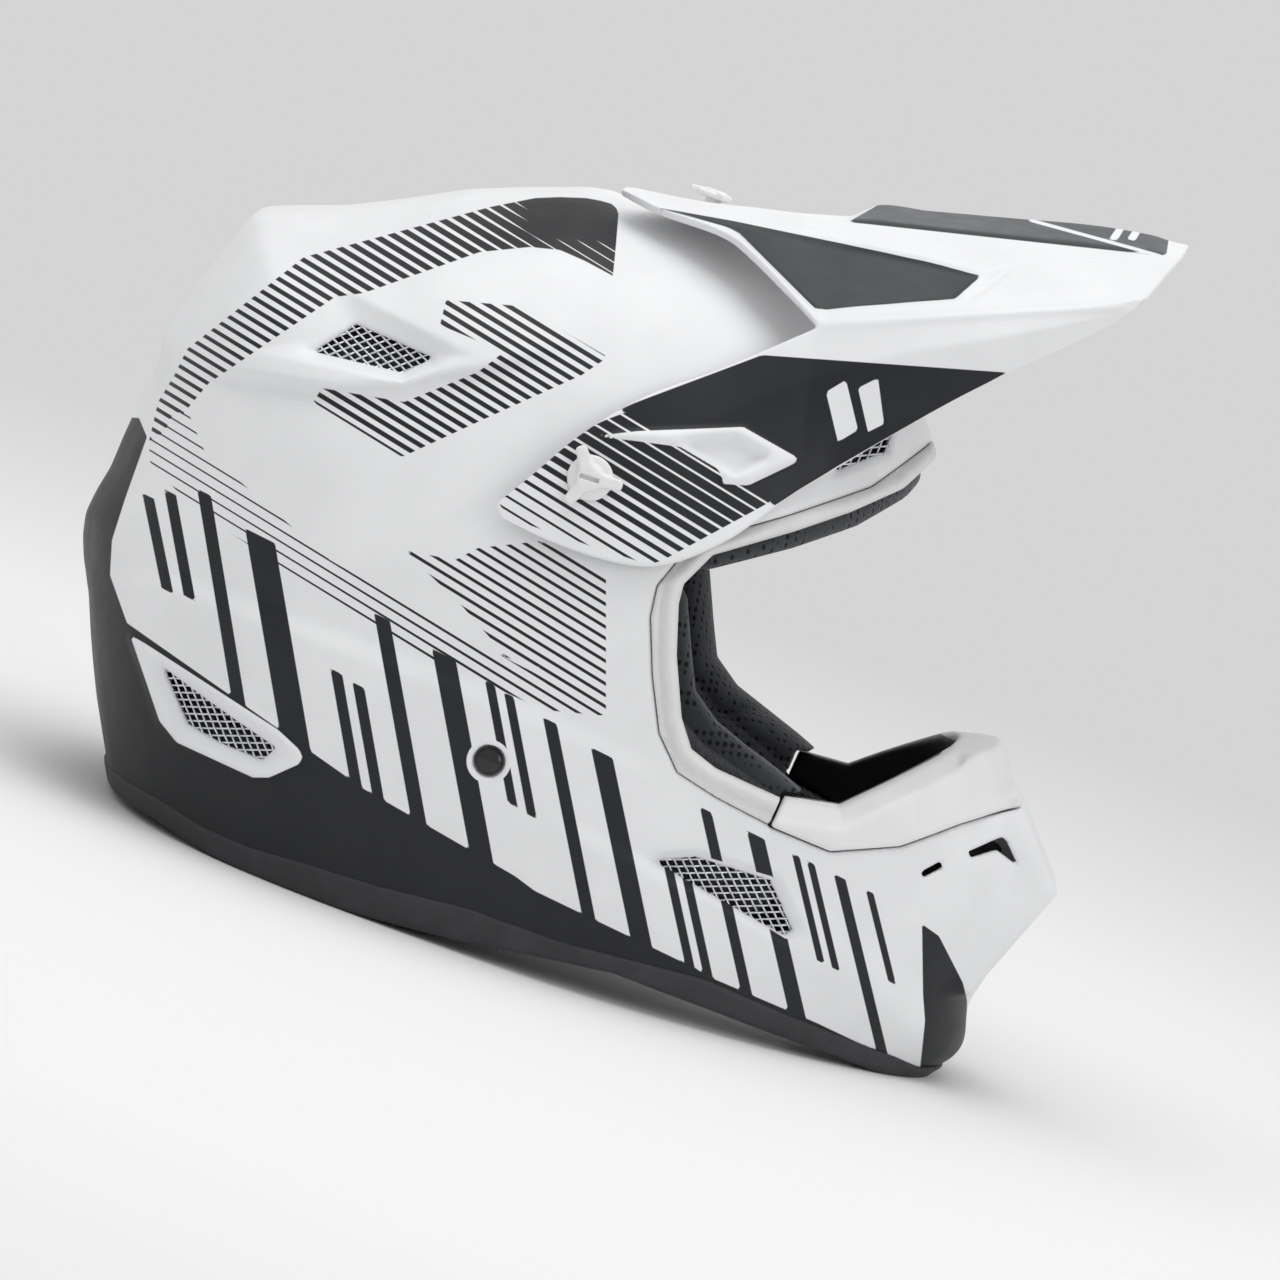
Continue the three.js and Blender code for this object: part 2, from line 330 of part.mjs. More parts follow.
// ---------------------------------------------------------------- screws and inserts
function thumbScrew(base, face, tip) {
  // shank along the local axis, a disc, and three wings; heights measured from the helmet's centre plane
  const at = [PIVOT.x, 0, PIVOT.z], axis = [0, -1, 0];
  let s = turned([[0, tip], [SCREW_R, tip], [SCREW_R, face], [KNOB_R, face], [KNOB_R, face + 2.6], [5.2, face + 4.6], [3.2, face + 5], [0, face + 5]], at, axis, 18);
  const wing = new THREE.Shape([[0, -3.4], [WING_R - 1.6, -2.5], [WING_R, -0.6], [WING_R, 1.4], [WING_R - 1.4, 2.6], [0, 3.6]].map((p) => new THREE.Vector2(...p)));
  const g = new THREE.ExtrudeGeometry(wing, { depth: 3.6, bevelEnabled: false, steps: 1 });
  for (let k = 0; k < 3; k++) {
    const m = new THREE.Matrix4().makeTranslation(PIVOT.x, -face - 0.5, PIVOT.z)
      .multiply(new THREE.Matrix4().makeRotationY(-(80 + 120 * k) * DEG))
      .multiply(new THREE.Matrix4().makeRotationX(Math.PI / 2));
    s = s.add(fromGeometry(g, m));
  }
  return s.subtract(box(PIVOT.x - 4.6, PIVOT.x + 4.6, -face - 8, -face - 3.8, PIVOT.z - 0.7, PIVOT.z + 0.7));
}
const screwRight = thumbScrew(0, PIVOT.wing + 0.8, 108.5);
const insertRight = turned([[SCREW_R + 0.35, 111.5], [9, 111.5], [9, 112.8], [5, 112.8], [5, 118.6], [SCREW_R + 0.35, 118.6], [SCREW_R + 0.35, 111.5]], [PIVOT.x, 0, PIVOT.z], [0, -1, 0], 16);
const washerRight = turned([[SCREW_R + 0.35, 119.5], [8.5, 119.5], [8.5, 120.9], [SCREW_R + 0.35, 120.9], [SCREW_R + 0.35, 119.5]], [PIVOT.x, 0, PIVOT.z], [0, -1, 0], 16);
const topScrewShape = () => {
  const at = [TOP_SCREW_X, 0, 0];
  let s = turned([[0, 254], [SCREW_R, 254], [SCREW_R, 270.6], [6.6, 270.6], [6.6, 272.6], [4, 274.2], [0, 274.4]], at, [0, 0, 1], 24);
  for (let k = 0; k < 3; k++) {
    const m = new THREE.Matrix4().makeTranslation(TOP_SCREW_X, 0, 271).multiply(new THREE.Matrix4().makeRotationZ((60 + 120 * k) * DEG));
    s = s.add(fromGeometry(new THREE.BoxGeometry(8.6, 4.4, 2.6), m.multiply(new THREE.Matrix4().makeTranslation(4.8, 0, 1.3))));
  }
  return s;
};
const topScrew = topScrewShape();
const topInsert = turned([[SCREW_R + 0.35, 255.2], [9, 255.2], [9, 256.4], [5, 256.4], [5, 263.2], [SCREW_R + 0.35, 263.2], [SCREW_R + 0.35, 255.2]], [TOP_SCREW_X, 0, 0], [0, 0, 1], 16);
shell = shell.subtract(topSeat(10, 250, 256.7)).subtract(pair(seat(9.6, 100, 113.1)));

// ---------------------------------------------------------------- chin strap
const rivetShape = turned([[0, 110.6], [5.2, 110.6], [5.2, 111.8], [3, 111.8], [3, 120.6], [RIVET.headR, 120.6], [RIVET.headR, 121.8], [4, 122.8], [2.2, 123.4], [0, 123.6]], [RIVET.x, 0, RIVET.z], [0, -1, 0], 14);
const tab = new THREE.Shape();
tab.moveTo(-9, -17).lineTo(9, -17).lineTo(9, -9).lineTo(7, 6).lineTo(0, 9).lineTo(-7, 6).lineTo(-9, -9).closePath();
const hole = new THREE.Path(); hole.absarc(0, 0, 3.35, 0, Math.PI * 2, true); tab.holes.push(hole);
const slot = new THREE.Path([[-7.4, -14.6], [-7.4, -11.8], [7.4, -11.8], [7.4, -14.6]].map((p) => new THREE.Vector2(...p))); tab.holes.push(slot);
const hangerRight = fromGeometry(new THREE.ExtrudeGeometry(tab, { depth: 1.5, bevelEnabled: false, curveSegments: 10 }),
  new THREE.Matrix4().makeTranslation(RIVET.x, -112.6, RIVET.z).multiply(new THREE.Matrix4().makeRotationX(Math.PI / 2)));
// a strip of webbing along a path in the [y, z] plane
function webbing(path, width = WEB_W, t = WEB_T) {
  const left = [], right = [];
  path.forEach((p, i) => {
    const a = path[Math.max(0, i - 1)], b = path[Math.min(path.length - 1, i + 1)];
    const d = [b[0] - a[0], b[1] - a[1]], l = Math.hypot(...d);
    left.push([p[0] - (d[1] / l) * t / 2, p[1] + (d[0] / l) * t / 2]);
    right.push([p[0] + (d[1] / l) * t / 2, p[1] - (d[0] / l) * t / 2]);
  });
  return prismX([...left, ...right.reverse()], RIVET.x - width / 2, RIVET.x + width / 2);
}
const curve = (points, n) => new THREE.CatmullRomCurve3(points.map(([y, z]) => new THREE.Vector3(0, y, z)), false, "centripetal").getPoints(n).map((v) => [v.y, v.z]);
const RING_Y = -34, RING_A = 13.2, RING_B = 16.6, RING_T = 2.4;
const shortPath = curve([[-109.4, 54.6], [-108.6, 44], [-106.4, 30], [-98, 19.5], [-80, 15.6], [-60, 14.4], [-42, 14.6]], 14);
const loopRing = [];
for (let i = 0; i <= 16; i++) loopRing.push([RING_Y + 3.6 * Math.cos((i * Math.PI) / 8), 14.7 + 6 * Math.sin((i * Math.PI) / 8)]);
let shortStrap = webbing(shortPath);
const oval = (ry, rz) => { const p = []; for (let i = 0; i < 20; i++) p.push([RING_Y + ry * Math.cos((i * Math.PI) / 10), RING_A / 2 + RING_B / 2 + rz * Math.sin((i * Math.PI) / 10)]); return p; };
shortStrap = shortStrap.add(webbing([[-50, 14.5], [-36, 14.7]])).add(prismX(oval(4.2, 6.4), RIVET.x - WEB_W / 2, RIVET.x + WEB_W / 2)).subtract(prismX(oval(2.4, 4.6), RIVET.x - WEB_W, RIVET.x + WEB_W));
function dRing(z) {
  const s = new THREE.Shape();
  const outer = [[-14, -1.4], [-14, 8], [-11, 14], [-5, 17.6], [5, 17.6], [11, 14], [14, 8], [14, -1.4]];
  const inner = [[-11.4, 1.2], [-11.4, 7.4], [-9, 12.2], [-4, 15], [4, 15], [9, 12.2], [11.4, 7.4], [11.4, 1.2]];
  outer.forEach((p, i) => (i ? s.lineTo(...p) : s.moveTo(...p)));
  s.closePath();
  s.holes.push(new THREE.Path(inner.reverse().map((p) => new THREE.Vector2(...p))));
  return fromGeometry(new THREE.ExtrudeGeometry(s, { depth: RING_T, bevelEnabled: false }), new THREE.Matrix4().makeTranslation(RIVET.x, RING_Y, z - RING_T / 2));
}
const longPath = curve([[109.4, 54.6], [108.6, 44], [106.4, 30], [98, 17.5], [80, 11.6], [50, 8.6], [10, 8.2], [-10, 8.9], [-19, 8.8], [-25, 10.2], [-27.7, 15], [-26, 21.4], [-17, 23.2], [-2, 19.4], [18, 15.2], [44, 14.2], [62, 14.2]], 40);
const longStrap = webbing(longPath);
const strapSnap = rod(5.5, 0, 2.6, [RIVET.x, 48, 16.0], [0, 0, 1], 16);

// ---------------------------------------------------------------- assembly
function part(name, s, color, roughness, metalness) {
  const bodies = s.decompose().sort((a, b) => b.volume() - a.volume());
  const m = bodies[0].getMesh();
  const g = new THREE.BufferGeometry();
  const pos = new Float32Array(m.numVert * 3);
  for (let i = 0; i < m.numVert; i++) pos.set(m.vertProperties.subarray(i * m.numProp, i * m.numProp + 3), i * 3);
  g.setAttribute("position", new THREE.BufferAttribute(pos, 3));
  g.setIndex(new THREE.BufferAttribute(m.triVerts, 1));
  const mesh = new THREE.Mesh(g, new THREE.MeshStandardMaterial({ color, roughness, metalness }));
  mesh.name = name;
  group.add(mesh);
}
const sides = (name, s, ...look) => { part(name + "_right", s, ...look); part(name + "_left", mirror(s), ...look); };

part("shell", shell, WHITE, 0.5, 0);
part("base_trim", baseTrim, CHARCOAL, 0.7, 0);
part("eyeport_gasket", gasket, WHITE, 0.6, 0);
part("nose_guard", noseGuard, WHITE, 0.6, 0);
part("eps_crown", crown, FOAM, 0.9, 0);
part("eps_chin", chinFoam, FOAM, 0.9, 0);
part("comfort_liner", liner, FABRIC, 0.95, 0);
sides("cheek_foam", cheekFoam, FOAM, 0.9, 0);
sides("cheek_pad", cheekPad, FABRIC, 0.95, 0);
part("neck_roll", neckRoll, FABRIC, 0.95, 0);
part("mouth_vent_grille", mouthGrille, BLACK, 0.5, 0);
sides("upper_vent_grille", grille(UPPER_VENT), MESH, 0.4, 0.6);
sides("rear_vent_grille", grille(REAR_VENT), MESH, 0.4, 0.6);
sides("chin_vent_grille", grille(CHIN_VENT), MESH, 0.4, 0.6);
sides("brow_vent_grille", grille(BROW_VENT), MESH, 0.4, 0.6);
part("visor", visor, WHITE, 0.5, 0);
sides("visor_screw", screwRight, WHITE, 0.4, 0);
part("visor_screw_top", topScrew, WHITE, 0.4, 0);
sides("visor_washer", washerRight, BLACK, 0.8, 0);
sides("visor_insert", insertRight, STEEL, 0.35, 1);
part("visor_insert_top", topInsert, STEEL, 0.35, 1);
sides("strap_rivet", rivetShape, BLACK, 0.2, 0.3);
sides("strap_hanger", hangerRight, STEEL, 0.35, 1);
part("chin_strap_short", shortStrap, FABRIC, 0.95, 0);
part("chin_strap_long", longStrap, FABRIC, 0.95, 0);
part("d_ring_inner", dRing(RING_A), STEEL, 0.25, 1);
part("d_ring_outer", dRing(RING_B), STEEL, 0.25, 1);
part("strap_snap", strapSnap, BLACK, 0.5, 0);

group.position.x = SHIFT_X;

export default group;
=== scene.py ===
import math
import bpy
import numpy as np
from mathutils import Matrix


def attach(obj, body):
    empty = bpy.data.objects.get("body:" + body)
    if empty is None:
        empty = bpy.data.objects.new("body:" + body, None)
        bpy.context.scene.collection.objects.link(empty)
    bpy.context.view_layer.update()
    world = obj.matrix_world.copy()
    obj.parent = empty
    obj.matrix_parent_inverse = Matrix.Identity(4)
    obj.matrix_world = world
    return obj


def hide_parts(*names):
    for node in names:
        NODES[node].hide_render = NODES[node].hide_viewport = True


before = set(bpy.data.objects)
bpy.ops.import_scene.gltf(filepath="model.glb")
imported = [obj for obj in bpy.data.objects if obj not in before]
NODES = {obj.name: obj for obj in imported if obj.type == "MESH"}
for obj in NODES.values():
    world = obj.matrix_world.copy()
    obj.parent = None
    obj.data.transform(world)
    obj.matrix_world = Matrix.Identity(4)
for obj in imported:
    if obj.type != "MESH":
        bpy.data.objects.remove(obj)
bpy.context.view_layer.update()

import openvdb
from mathutils import Vector, Matrix

scene = bpy.context.scene
SHIFT = -0.495          # mm, drawing x to row x

# ------------------------------------------------------------------ side drawing of the helmet, mm
CX, CZ = -59.2, 116.8
SIL = [[74.4,234.1],[60.8,245.3],[42.3,254.0],[17.3,259.6],[-10.4,262.0],[-37.3,262.0],[-48.5,263.0],[-56.3,261.4],[-76.8,254.1],[-97.1,246.1],[-116.6,235.7],[-136.4,226.0],[-153.6,219.9],[-163.1,216.2],[-166.2,213.9],[-168.8,208.0],[-172.6,196.7],[-176.5,185.7],[-180.2,174.3],[-182.6,165.4],[-183.3,159.7],[-182.2,155.5],[-181.3,148.4],[-183.0,137.8],[-184.0,129.3],[-184.8,120.5],[-185.5,109.0],[-187.6,99.3],[-188.7,90.4],[-187.1,82.4],[-183.8,73.9],[-178.1,64.3],[-172.6,50.7],[-168.9,42.2],[-162.7,28.9],[-155.7,15.8],[-148.5,2.7],[-137.7,-16.9],[-124.4,-39.5],[-103.7,-67.4],[-69.4,-98.2],[-22.4,-120.4],[30.1,-124.8],[80.3,-112.2],[124.8,-84.0],[151.7,-50.9],[159.5,-24.0],[163.4,-6.4],[167.4,1.7],[174.4,8.6],[176.7,15.6],[172.2,28.0],[175.1,40.4],[178.0,59.0],[177.2,78.2],[169.6,94.8],[158.7,110.2],[152.9,119.8],[146.1,136.6],[135.2,155.9],[122.8,174.5],[108.6,192.5],[96.7,209.4],[87.8,221.6]]
GASK_O = [[82.9,76.1],[62.2,79.9],[46.8,84.1],[36.5,95.0],[27.7,113.0],[20.4,131.5],[19.0,142.2],[22.4,152.7],[29.9,163.5],[53.7,179.6],[76.1,196.5],[86.1,210.2],[91.3,217.1]]
GASK_I = [[83.6,86.3],[58.8,89.5],[48.9,93.2],[42.2,102.3],[33.5,121.8],[28.2,138.5],[27.5,145.4],[33.4,157.8],[55.9,173.5],[72.3,185.9],[87.2,199.1],[94.9,212.2]]
NOSE = [[83.0,75.8],[83.8,86.7],[102.9,89.2],[112.2,97.7],[134.0,117.2],[136.0,124.1],[151.7,124.4],[157.6,117.6],[167.6,106.9],[145.9,94.5],[128.2,81.7],[105.6,73.3]]
RIM_LO = [[-118.4,2.6],[-94.4,-0.3],[-76.5,-1.1],[-59.3,-1.4],[-39.4,0.3],[-18.0,2.3],[-1.0,4.1],[18.7,7.0],[30.8,8.6],[49.6,10.4],[83.5,7.8],[131.1,3.0],[157.1,-1.7],[162.6,-2.5]]
RIM_HI = [[-145.6,10.2],[-121.0,11.2],[-102.2,9.1],[-83.6,9.1],[-63.3,11.2],[-36.1,12.9],[-5.1,16.2],[28.4,15.7],[56.5,17.5],[80.0,18.1],[126.6,11.4],[152.8,7.4],[163.1,4.6],[167.9,5.1]]
VENTS = {
    "upper": [[-119.8,177.1],[-109.6,190.5],[-80.0,189.2],[-87.8,181.0]],
    "rear": [[-134.0,55.8],[-85.6,45.3],[-88.9,39.5],[-104.4,39.2],[-118.6,40.8]],
    "chin": [[50.2,52.3],[62.3,57.6],[89.1,57.3],[102.0,43.2],[100.4,40.5]],
    "brow": [[62.7,198.4],[62.2,203.7],[70.1,217.0],[74.9,216.7],[76.1,209.5],[68.8,203.6]],
}
SNOUT = [[112,72],[130.4,80.9],[158.2,103.4],[163.7,108.2],[188.2,80.4],[187.6,77.0],[171.0,35.5],[150,30],[132,50]]
SLOTS = [[[138.3,75.1],[143.6,80.5],[145.1,78.4],[139.7,73.1]], [[151.9,86.0],[162.1,93.6],[163.8,92.9],[171.2,85.2],[161.9,88.5],[153.6,84.0]]]
HEAD = (-33.0, 110.7, 101.0, 76.0, 104.0, math.radians(19.6))
PIV = (-14.3, 169.8)
RIV = (-14.7, 66.8)
TSX = -12.6
P_EXP = 2.3

# the drawing plane of the painted pattern: a view of the right side from 1.9 m
TILT = math.radians(19.6)
DEL, ELE, DIST, FPX = math.radians(3.5), math.radians(4.0), 1900.0, 5225.0
_cam = DIST * np.array([math.sin(DEL) * math.cos(ELE), -math.cos(DEL) * math.cos(ELE), math.sin(ELE)])
_f = -_cam / DIST
_r = np.array([math.cos(DEL), math.sin(DEL), 0.0])
_u = np.cross(_r, _f)
PX = 2.9                # drawing units in 1 mm on the near side


def drawn(x, y, z):
    """Where a point, taken to the right side, falls on the drawing plane."""
    x, z = x - 15.8, z - 112.8
    X, Z = x * math.cos(TILT) + z * math.sin(TILT), -x * math.sin(TILT) + z * math.cos(TILT)
    q = np.stack([X, -np.abs(y), Z], -1) - _cam
    d = q @ _f
    return 640 + FPX * (q @ _r) / d, 640 - FPX * (q @ _u) / d


def sst(a, b, v):
    t = np.clip((v - a) / (b - a), 0, 1)
    return t * t * (3 - 2 * t)


def psd(u, v, pts):
    """Signed distance to a polygon, negative inside."""
    pts = np.asarray(pts, float)
    d2 = np.full(np.shape(u), 1e18)
    ins = np.zeros(np.shape(u), bool)
    for i in range(len(pts)):
        a, b = pts[i - 1], pts[i]
        e = b - a
        wu, wv = u - a[0], v - a[1]
        t = np.clip((wu * e[0] + wv * e[1]) / max(e @ e, 1e-12), 0, 1)
        d2 = np.minimum(d2, (wu - e[0] * t) ** 2 + (wv - e[1] * t) ** 2)
        if abs(e[1]) > 1e-12:
            ins ^= ((a[1] <= v) != (b[1] <= v)) & (u < a[0] + (v - a[1]) * (e[0] / e[1]))
    d = np.sqrt(d2)
    return np.where(ins, -d, d)


def line(u, pts):
    p = np.asarray(pts, float)
    return np.interp(u, p[:, 0], p[:, 1])


def smax(a, b, k):
    return np.maximum(a, b) + np.maximum(k - np.abs(a - b), 0) ** 2 / (4 * k)


def smin(a, b, k):
    return -smax(-a, -b, k)


# ------------------------------------------------------------------ the outer surface as maps over the drawing
NT = 1440
_pts = np.array(SIL)
_ph = np.degrees(np.arctan2(_pts[:, 1] - CZ, _pts[:, 0] - CX))
_o = np.argsort(_ph)
_q = np.arange(NT) * 360.0 / NT - 180
# radius of the outline along each ray
_R = np.zeros(NT)
for k in range(len(_pts)):
    a, b = _pts[k - 1] - (CX, CZ), _pts[k] - (CX, CZ)
    dx, dz = np.cos(np.radians(_q)), np.sin(np.radians(_q))
    e = b - a
    det = dx * -e[1] + dz * e[0]
    with np.errstate(divide="ignore", invalid="ignore"):
        r = (a[0] * -e[1] + a[1] * e[0]) / det
        s = (dx * a[1] - dz * a[0]) / det
    ok = (np.abs(det) > 1e-9) & (r > 0) & (s >= -1e-9) & (s <= 1 + 1e-9)
    _R = np.where(ok, np.maximum(_R, r), _R)


def _gauss(tab, sig):
    k = np.arange(-int(3 * sig * NT / 360), int(3 * sig * NT / 360) + 1) * 360.0 / NT
    w = np.exp(-k * k / 2 / sig / sig)
    w /= w.sum()
    n = len(k) // 2
    return np.convolve(np.concatenate([tab[-n:], tab, tab[:n]]), w, "valid")


R_SHARP, R_SOFT = _gauss(_R, 0.7), _gauss(_R, 9.0)


def _lut(tab, ph):
    q = (ph + 180) / 360 * NT
    i = np.floor(q).astype(int)
    fr = q - i
    return tab[i % NT] * (1 - fr) + tab[(i + 1) % NT] * fr


H0 = 0.5
GX, GZ = np.arange(-206, 212, H0), np.arange(-40, 282, H0)
MX, MZ = np.meshgrid(GX, GZ, indexing="ij")


def tfun(x, z):
    dx, dz = x - CX, z - CZ
    ph, rho = np.degrees(np.arctan2(dz, dx)), np.hypot(dx, dz)
    rs, rt = _lut(R_SOFT, ph), _lut(R_SHARP, ph)
    w = sst(0.55, 0.95, rho / rs)
    return rho / (rs * (1 - w) + rt * w)


def wfun(x):
    return 124.0 - 30.0 * sst(25.8, 215.8, x)


M = {}
M["T"] = tfun(MX, MZ)
M["W"] = wfun(MX)
M["Tx"], M["Tz"] = np.gradient(M["T"], H0)
M["Wx"] = np.gradient(M["W"], H0, axis=0)
YS = M["W"] * np.maximum(1 - np.minimum(M["T"], 1) ** P_EXP, 0) ** (1 / P_EXP)
U, V = drawn(MX, YS, MZ)

# relief of the shell, mm proud, from lines of the drawing plane
BELT = [(60,560),(95,560),(172,566),(294,612),(345,630),(490,682),(582,722),(660,760),(760,800)]
PODL = [(150,350),(172,354),(217,367),(330,383),(404,382),(440,372),(480,366),(540,352),(600,330)]
POCKET = [(254.5,351),(335,294),(350,293),(473,356),(402.5,383),(350,369)]
UPMESH = [(311,352),(354,325),(432,356),(430.6,362),(404,373)]
REARP = [(131,636),(145,644),(277.5,730),(299,750),(302,758),(298,764),(269,777),(253,777),(177,742),(160,721)]
REARM = [(163,667),(276,749),(275,753),(261,760),(228,750),(188,724.5),(179,713),(166.5,682)]
CHINP = [(640,858),(662,850),(697,848),(778,872),(812,938),(786,946),(700,893)]
CHINM = [(655,862),(664,858.5),(693,857),(770,883),(790,927),(786.5,935)]
BROWP = [(828,480),(833,450),(872,418),(896,424),(893,455),(862,470)]
BROWM = [(836,470),(840,455),(875,425),(888,430),(884,451),(858,461)]
relief = -1.2 + 2.9 * sst(0, 27, V - line(U, BELT)) * (1 - sst(500, 720, U))
relief += 1.3 * sst(500, 720, U)
relief += 4.8 * (1 - sst(-2, 14, V - line(U, PODL))) * sst(-150, -8, V - line(U, PODL)) * sst(172, 262, U) * (1 - sst(450, 600, U))
relief += 2.0 * sst(0, 22, V - line(U, [(540, 802), (582, 822), (623, 842), (655, 860), (700, 880)])) * sst(540, 600, U) * (1 - sst(660, 720, U)) * (1 - sst(60, 140, V - line(U, [(540, 802), (582, 822), (623, 842), (655, 860), (700, 880)])))
rec = np.zeros_like(relief)
for outer, inner, depth, power in ((POCKET, UPMESH, 5.2, 0.85), (REARP, REARM, 3.2, 1.6), (CHINP, CHINM, 3.0, 1.0), (BROWP, BROWM, 2.2, 1.0)):
    do, di = np.maximum(-psd(U, V, outer), 0), np.maximum(psd(U, V, inner), 0)
    f = do / np.maximum(do + di, 1e-6)
    rec = np.maximum(rec, depth * f ** power)
relief += 1.5 * (1 - sst(-4, 5, psd(U, V, REARP)))
fade = 1 - sst(0.93, 1.0, M["T"])
M["D"] = (relief - rec) * fade
# room under the visor's wings
M["D"] = M["D"] - 2.6 * (1 - sst(-7, 1, psd(MX, MZ, [(-30, 154), (-14, 150), (13, 152), (30, 165), (50, 192), (55, 206), (43, 228), (18, 208), (-3, 190), (-18, 170)])))
# light blur so that the relief has no aliasing
for _ in range(2):
    for ax in (0, 1):
        d = M["D"]
        M["D"] = (np.roll(d, 1, ax) + 2 * d + np.roll(d, -1, ax)) / 4
M["rec"] = rec
_lo = np.array(RIM_LO)
M["low"] = np.interp(MX, np.concatenate([[-400, -145], _lo[:, 0]]), np.concatenate([[2.6, 2.2], _lo[:, 1]])) - MZ
M["high"] = MZ - line(MX, RIM_HI)
AHEAD = [[108, 240], [230, 330], [400, 200], [400, 110], [178, 98], [150, 92]]
OVER = [[108, 240], [230, 330], [400, 200], [400, 125], [166, 109.5], [146, 97.5], [128, 85], [105.6, 77.8]]
M["eye"] = psd(MX, MZ, GASK_O + OVER)
M["eyein"] = psd(MX, MZ, GASK_I + AHEAD)
M["gask"] = psd(MX, MZ, GASK_O + GASK_I[::-1])
M["nose"] = psd(MX, MZ, NOSE)
M["ntop"] = psd(MX, MZ, [[70, 84], [83.8, 86.7], [102.9, 89.2], [112.2, 97.7], [134.0, 117.2], [139, 120.5], [166, 121.5], [230, 60], [70, 30]])
M["snout"] = psd(MX, MZ, SNOUT)
M["vent"] = np.minimum.reduce([psd(MX, MZ, v) for v in VENTS.values()])
M["slot"] = np.minimum.reduce([psd(MX, MZ, v) for v in SLOTS])
M["crown"] = psd(MX, MZ, [[-230, 48], [-92, 48], [-74, 66], [-60, 100], [-20, 122], [21, 154], [33, 159], [54, 174.5], [70, 187.5], [82, 200.5], [91, 216], [140, 300], [-230, 400]])
M["brow"] = psd(MX, MZ, [[22, 148.5], [34, 152.5], [58, 168], [76, 181.5], [89, 195.5], [98, 213], [92, 217], [82, 201.5], [69, 188.5], [53, 175.5], [32, 160], [19, 155]])
M["linerA"] = psd(MX, MZ, [[-230, 56], [-88, 56], [-70, 74], [-54, 106], [-16, 128], [22, 152], [58, 180], [84, 206], [140, 300], [-230, 400]])
CHEEK = [[-56, 22], [-56, 98], [-24, 117], [0, 133], [24, 145.5], [30, 139.6], [37.4, 123], [43.5, 110.2], [54, 102.8], [81.3, 93.6], [101, 86], [103, 76], [96, 54], [78, 26], [40, 24], [8, 22]]
M["cheek"] = psd(MX, MZ, CHEEK)
M["foam"] = psd(MX, MZ, [[-56, 24], [-56, 97], [-24, 113], [0, 129], [18, 140], [27, 128], [33, 112], [41, 101], [52, 95], [80, 87], [92, 82], [94, 74], [88, 54], [74, 28], [40, 27], [8, 24]])
M["neck"] = psd(MX, MZ, [[-190, 6], [-62, 4.2], [-59, 24], [-60, 42], [-76, 46], [-190, 46]])
M["chinA"] = psd(MX, MZ, [[112, 12], [117, 60], [121, 76], [131, 76], [200, 100], [200, 14]])
M = {k: v.astype(np.float32) for k, v in M.items()}


def samp(names, x, z):
    """Bilinear values of maps at points."""
    fx, fz = np.clip((x - GX[0]) / H0, 0, len(GX) - 1.001), np.clip((z - GZ[0]) / H0, 0, len(GZ) - 1.001)
    i, j = fx.astype(int), fz.astype(int)
    a, b = fx - i, fz - j
    w00, w10, w01, w11 = (1 - a) * (1 - b), a * (1 - b), (1 - a) * b, a * b
    n = len(GZ)
    k = i * n + j
    out = []
    for name in names:
        m = M[name].ravel()
        out.append(m[k] * w00 + m[k + n] * w10 + m[k + 1] * w01 + m[k + n + 1] * w11)
    return out


def skin(x, y, z):
    """Distance outwards from the shell's plain outer surface."""
    t, w, tx, tz, wx = samp(("T", "W", "Tx", "Tz", "Wx"), x, z)
    a = np.abs(y) / w
    g = np.maximum((t ** P_EXP + a ** P_EXP) ** (1 / P_EXP), 1e-3)
    ct, ca = (t / g) ** (P_EXP - 1), (a / g) ** (P_EXP - 1)
    gx, gy, gz = ct * tx - ca * a * wx / w, ca / w, ct * tz
    return (g - 1) / np.sqrt(gx * gx + gy * gy + gz * gz + 1e-9)


def head(x, y, z, k=0.0):
    """Distance outside the head form grown by k."""
    hx, hz, a, b, c, t = HEAD
    dx, dz = x - hx, z - hz
    X, Z = dx * math.cos(t) + dz * math.sin(t), -dx * math.sin(t) + dz * math.cos(t)
    a, b, c = a + k, b + k, c + k
    r = np.sqrt((X / a) ** 2 + (y / b) ** 2 + (Z / c) ** 2)
    n = np.sqrt((X / a / a) ** 2 + (y / b / b) ** 2 + (Z / c / c) ** 2) + 1e-9
    return r * (r - 1) / n


def rad(x, z, c):
    return np.hypot(x - c[0], z - c[1])


def snout_w(x):
    return 52 - 25 * np.clip((x - 128) / 58, 0, 1)


def snout(x, y, z, s2, inset=0.0, k=5.5):
    return smax(s2 + inset, (np.abs(y) - snout_w(x) + inset) * 0.93, k)


MA = np.array([37.8, -19.2]) / math.hypot(37.8, 19.2)
MB = np.array([19.2, 37.8]) / math.hypot(37.8, 19.2)


def mouth(x, y, z, ha=15.5, hw=21.0, o0=-9.0, o1=30.0, k=3.0):
    dx, dz = x - 177.2, z - 58.2
    al, ou = np.abs(dx * MB[0] + dz * MB[1]) - ha, dx * MA[0] + dz * MA[1]
    return smax(smax(al, np.abs(y) - hw, k), np.maximum(o0 - ou, ou - o1), 0.8)


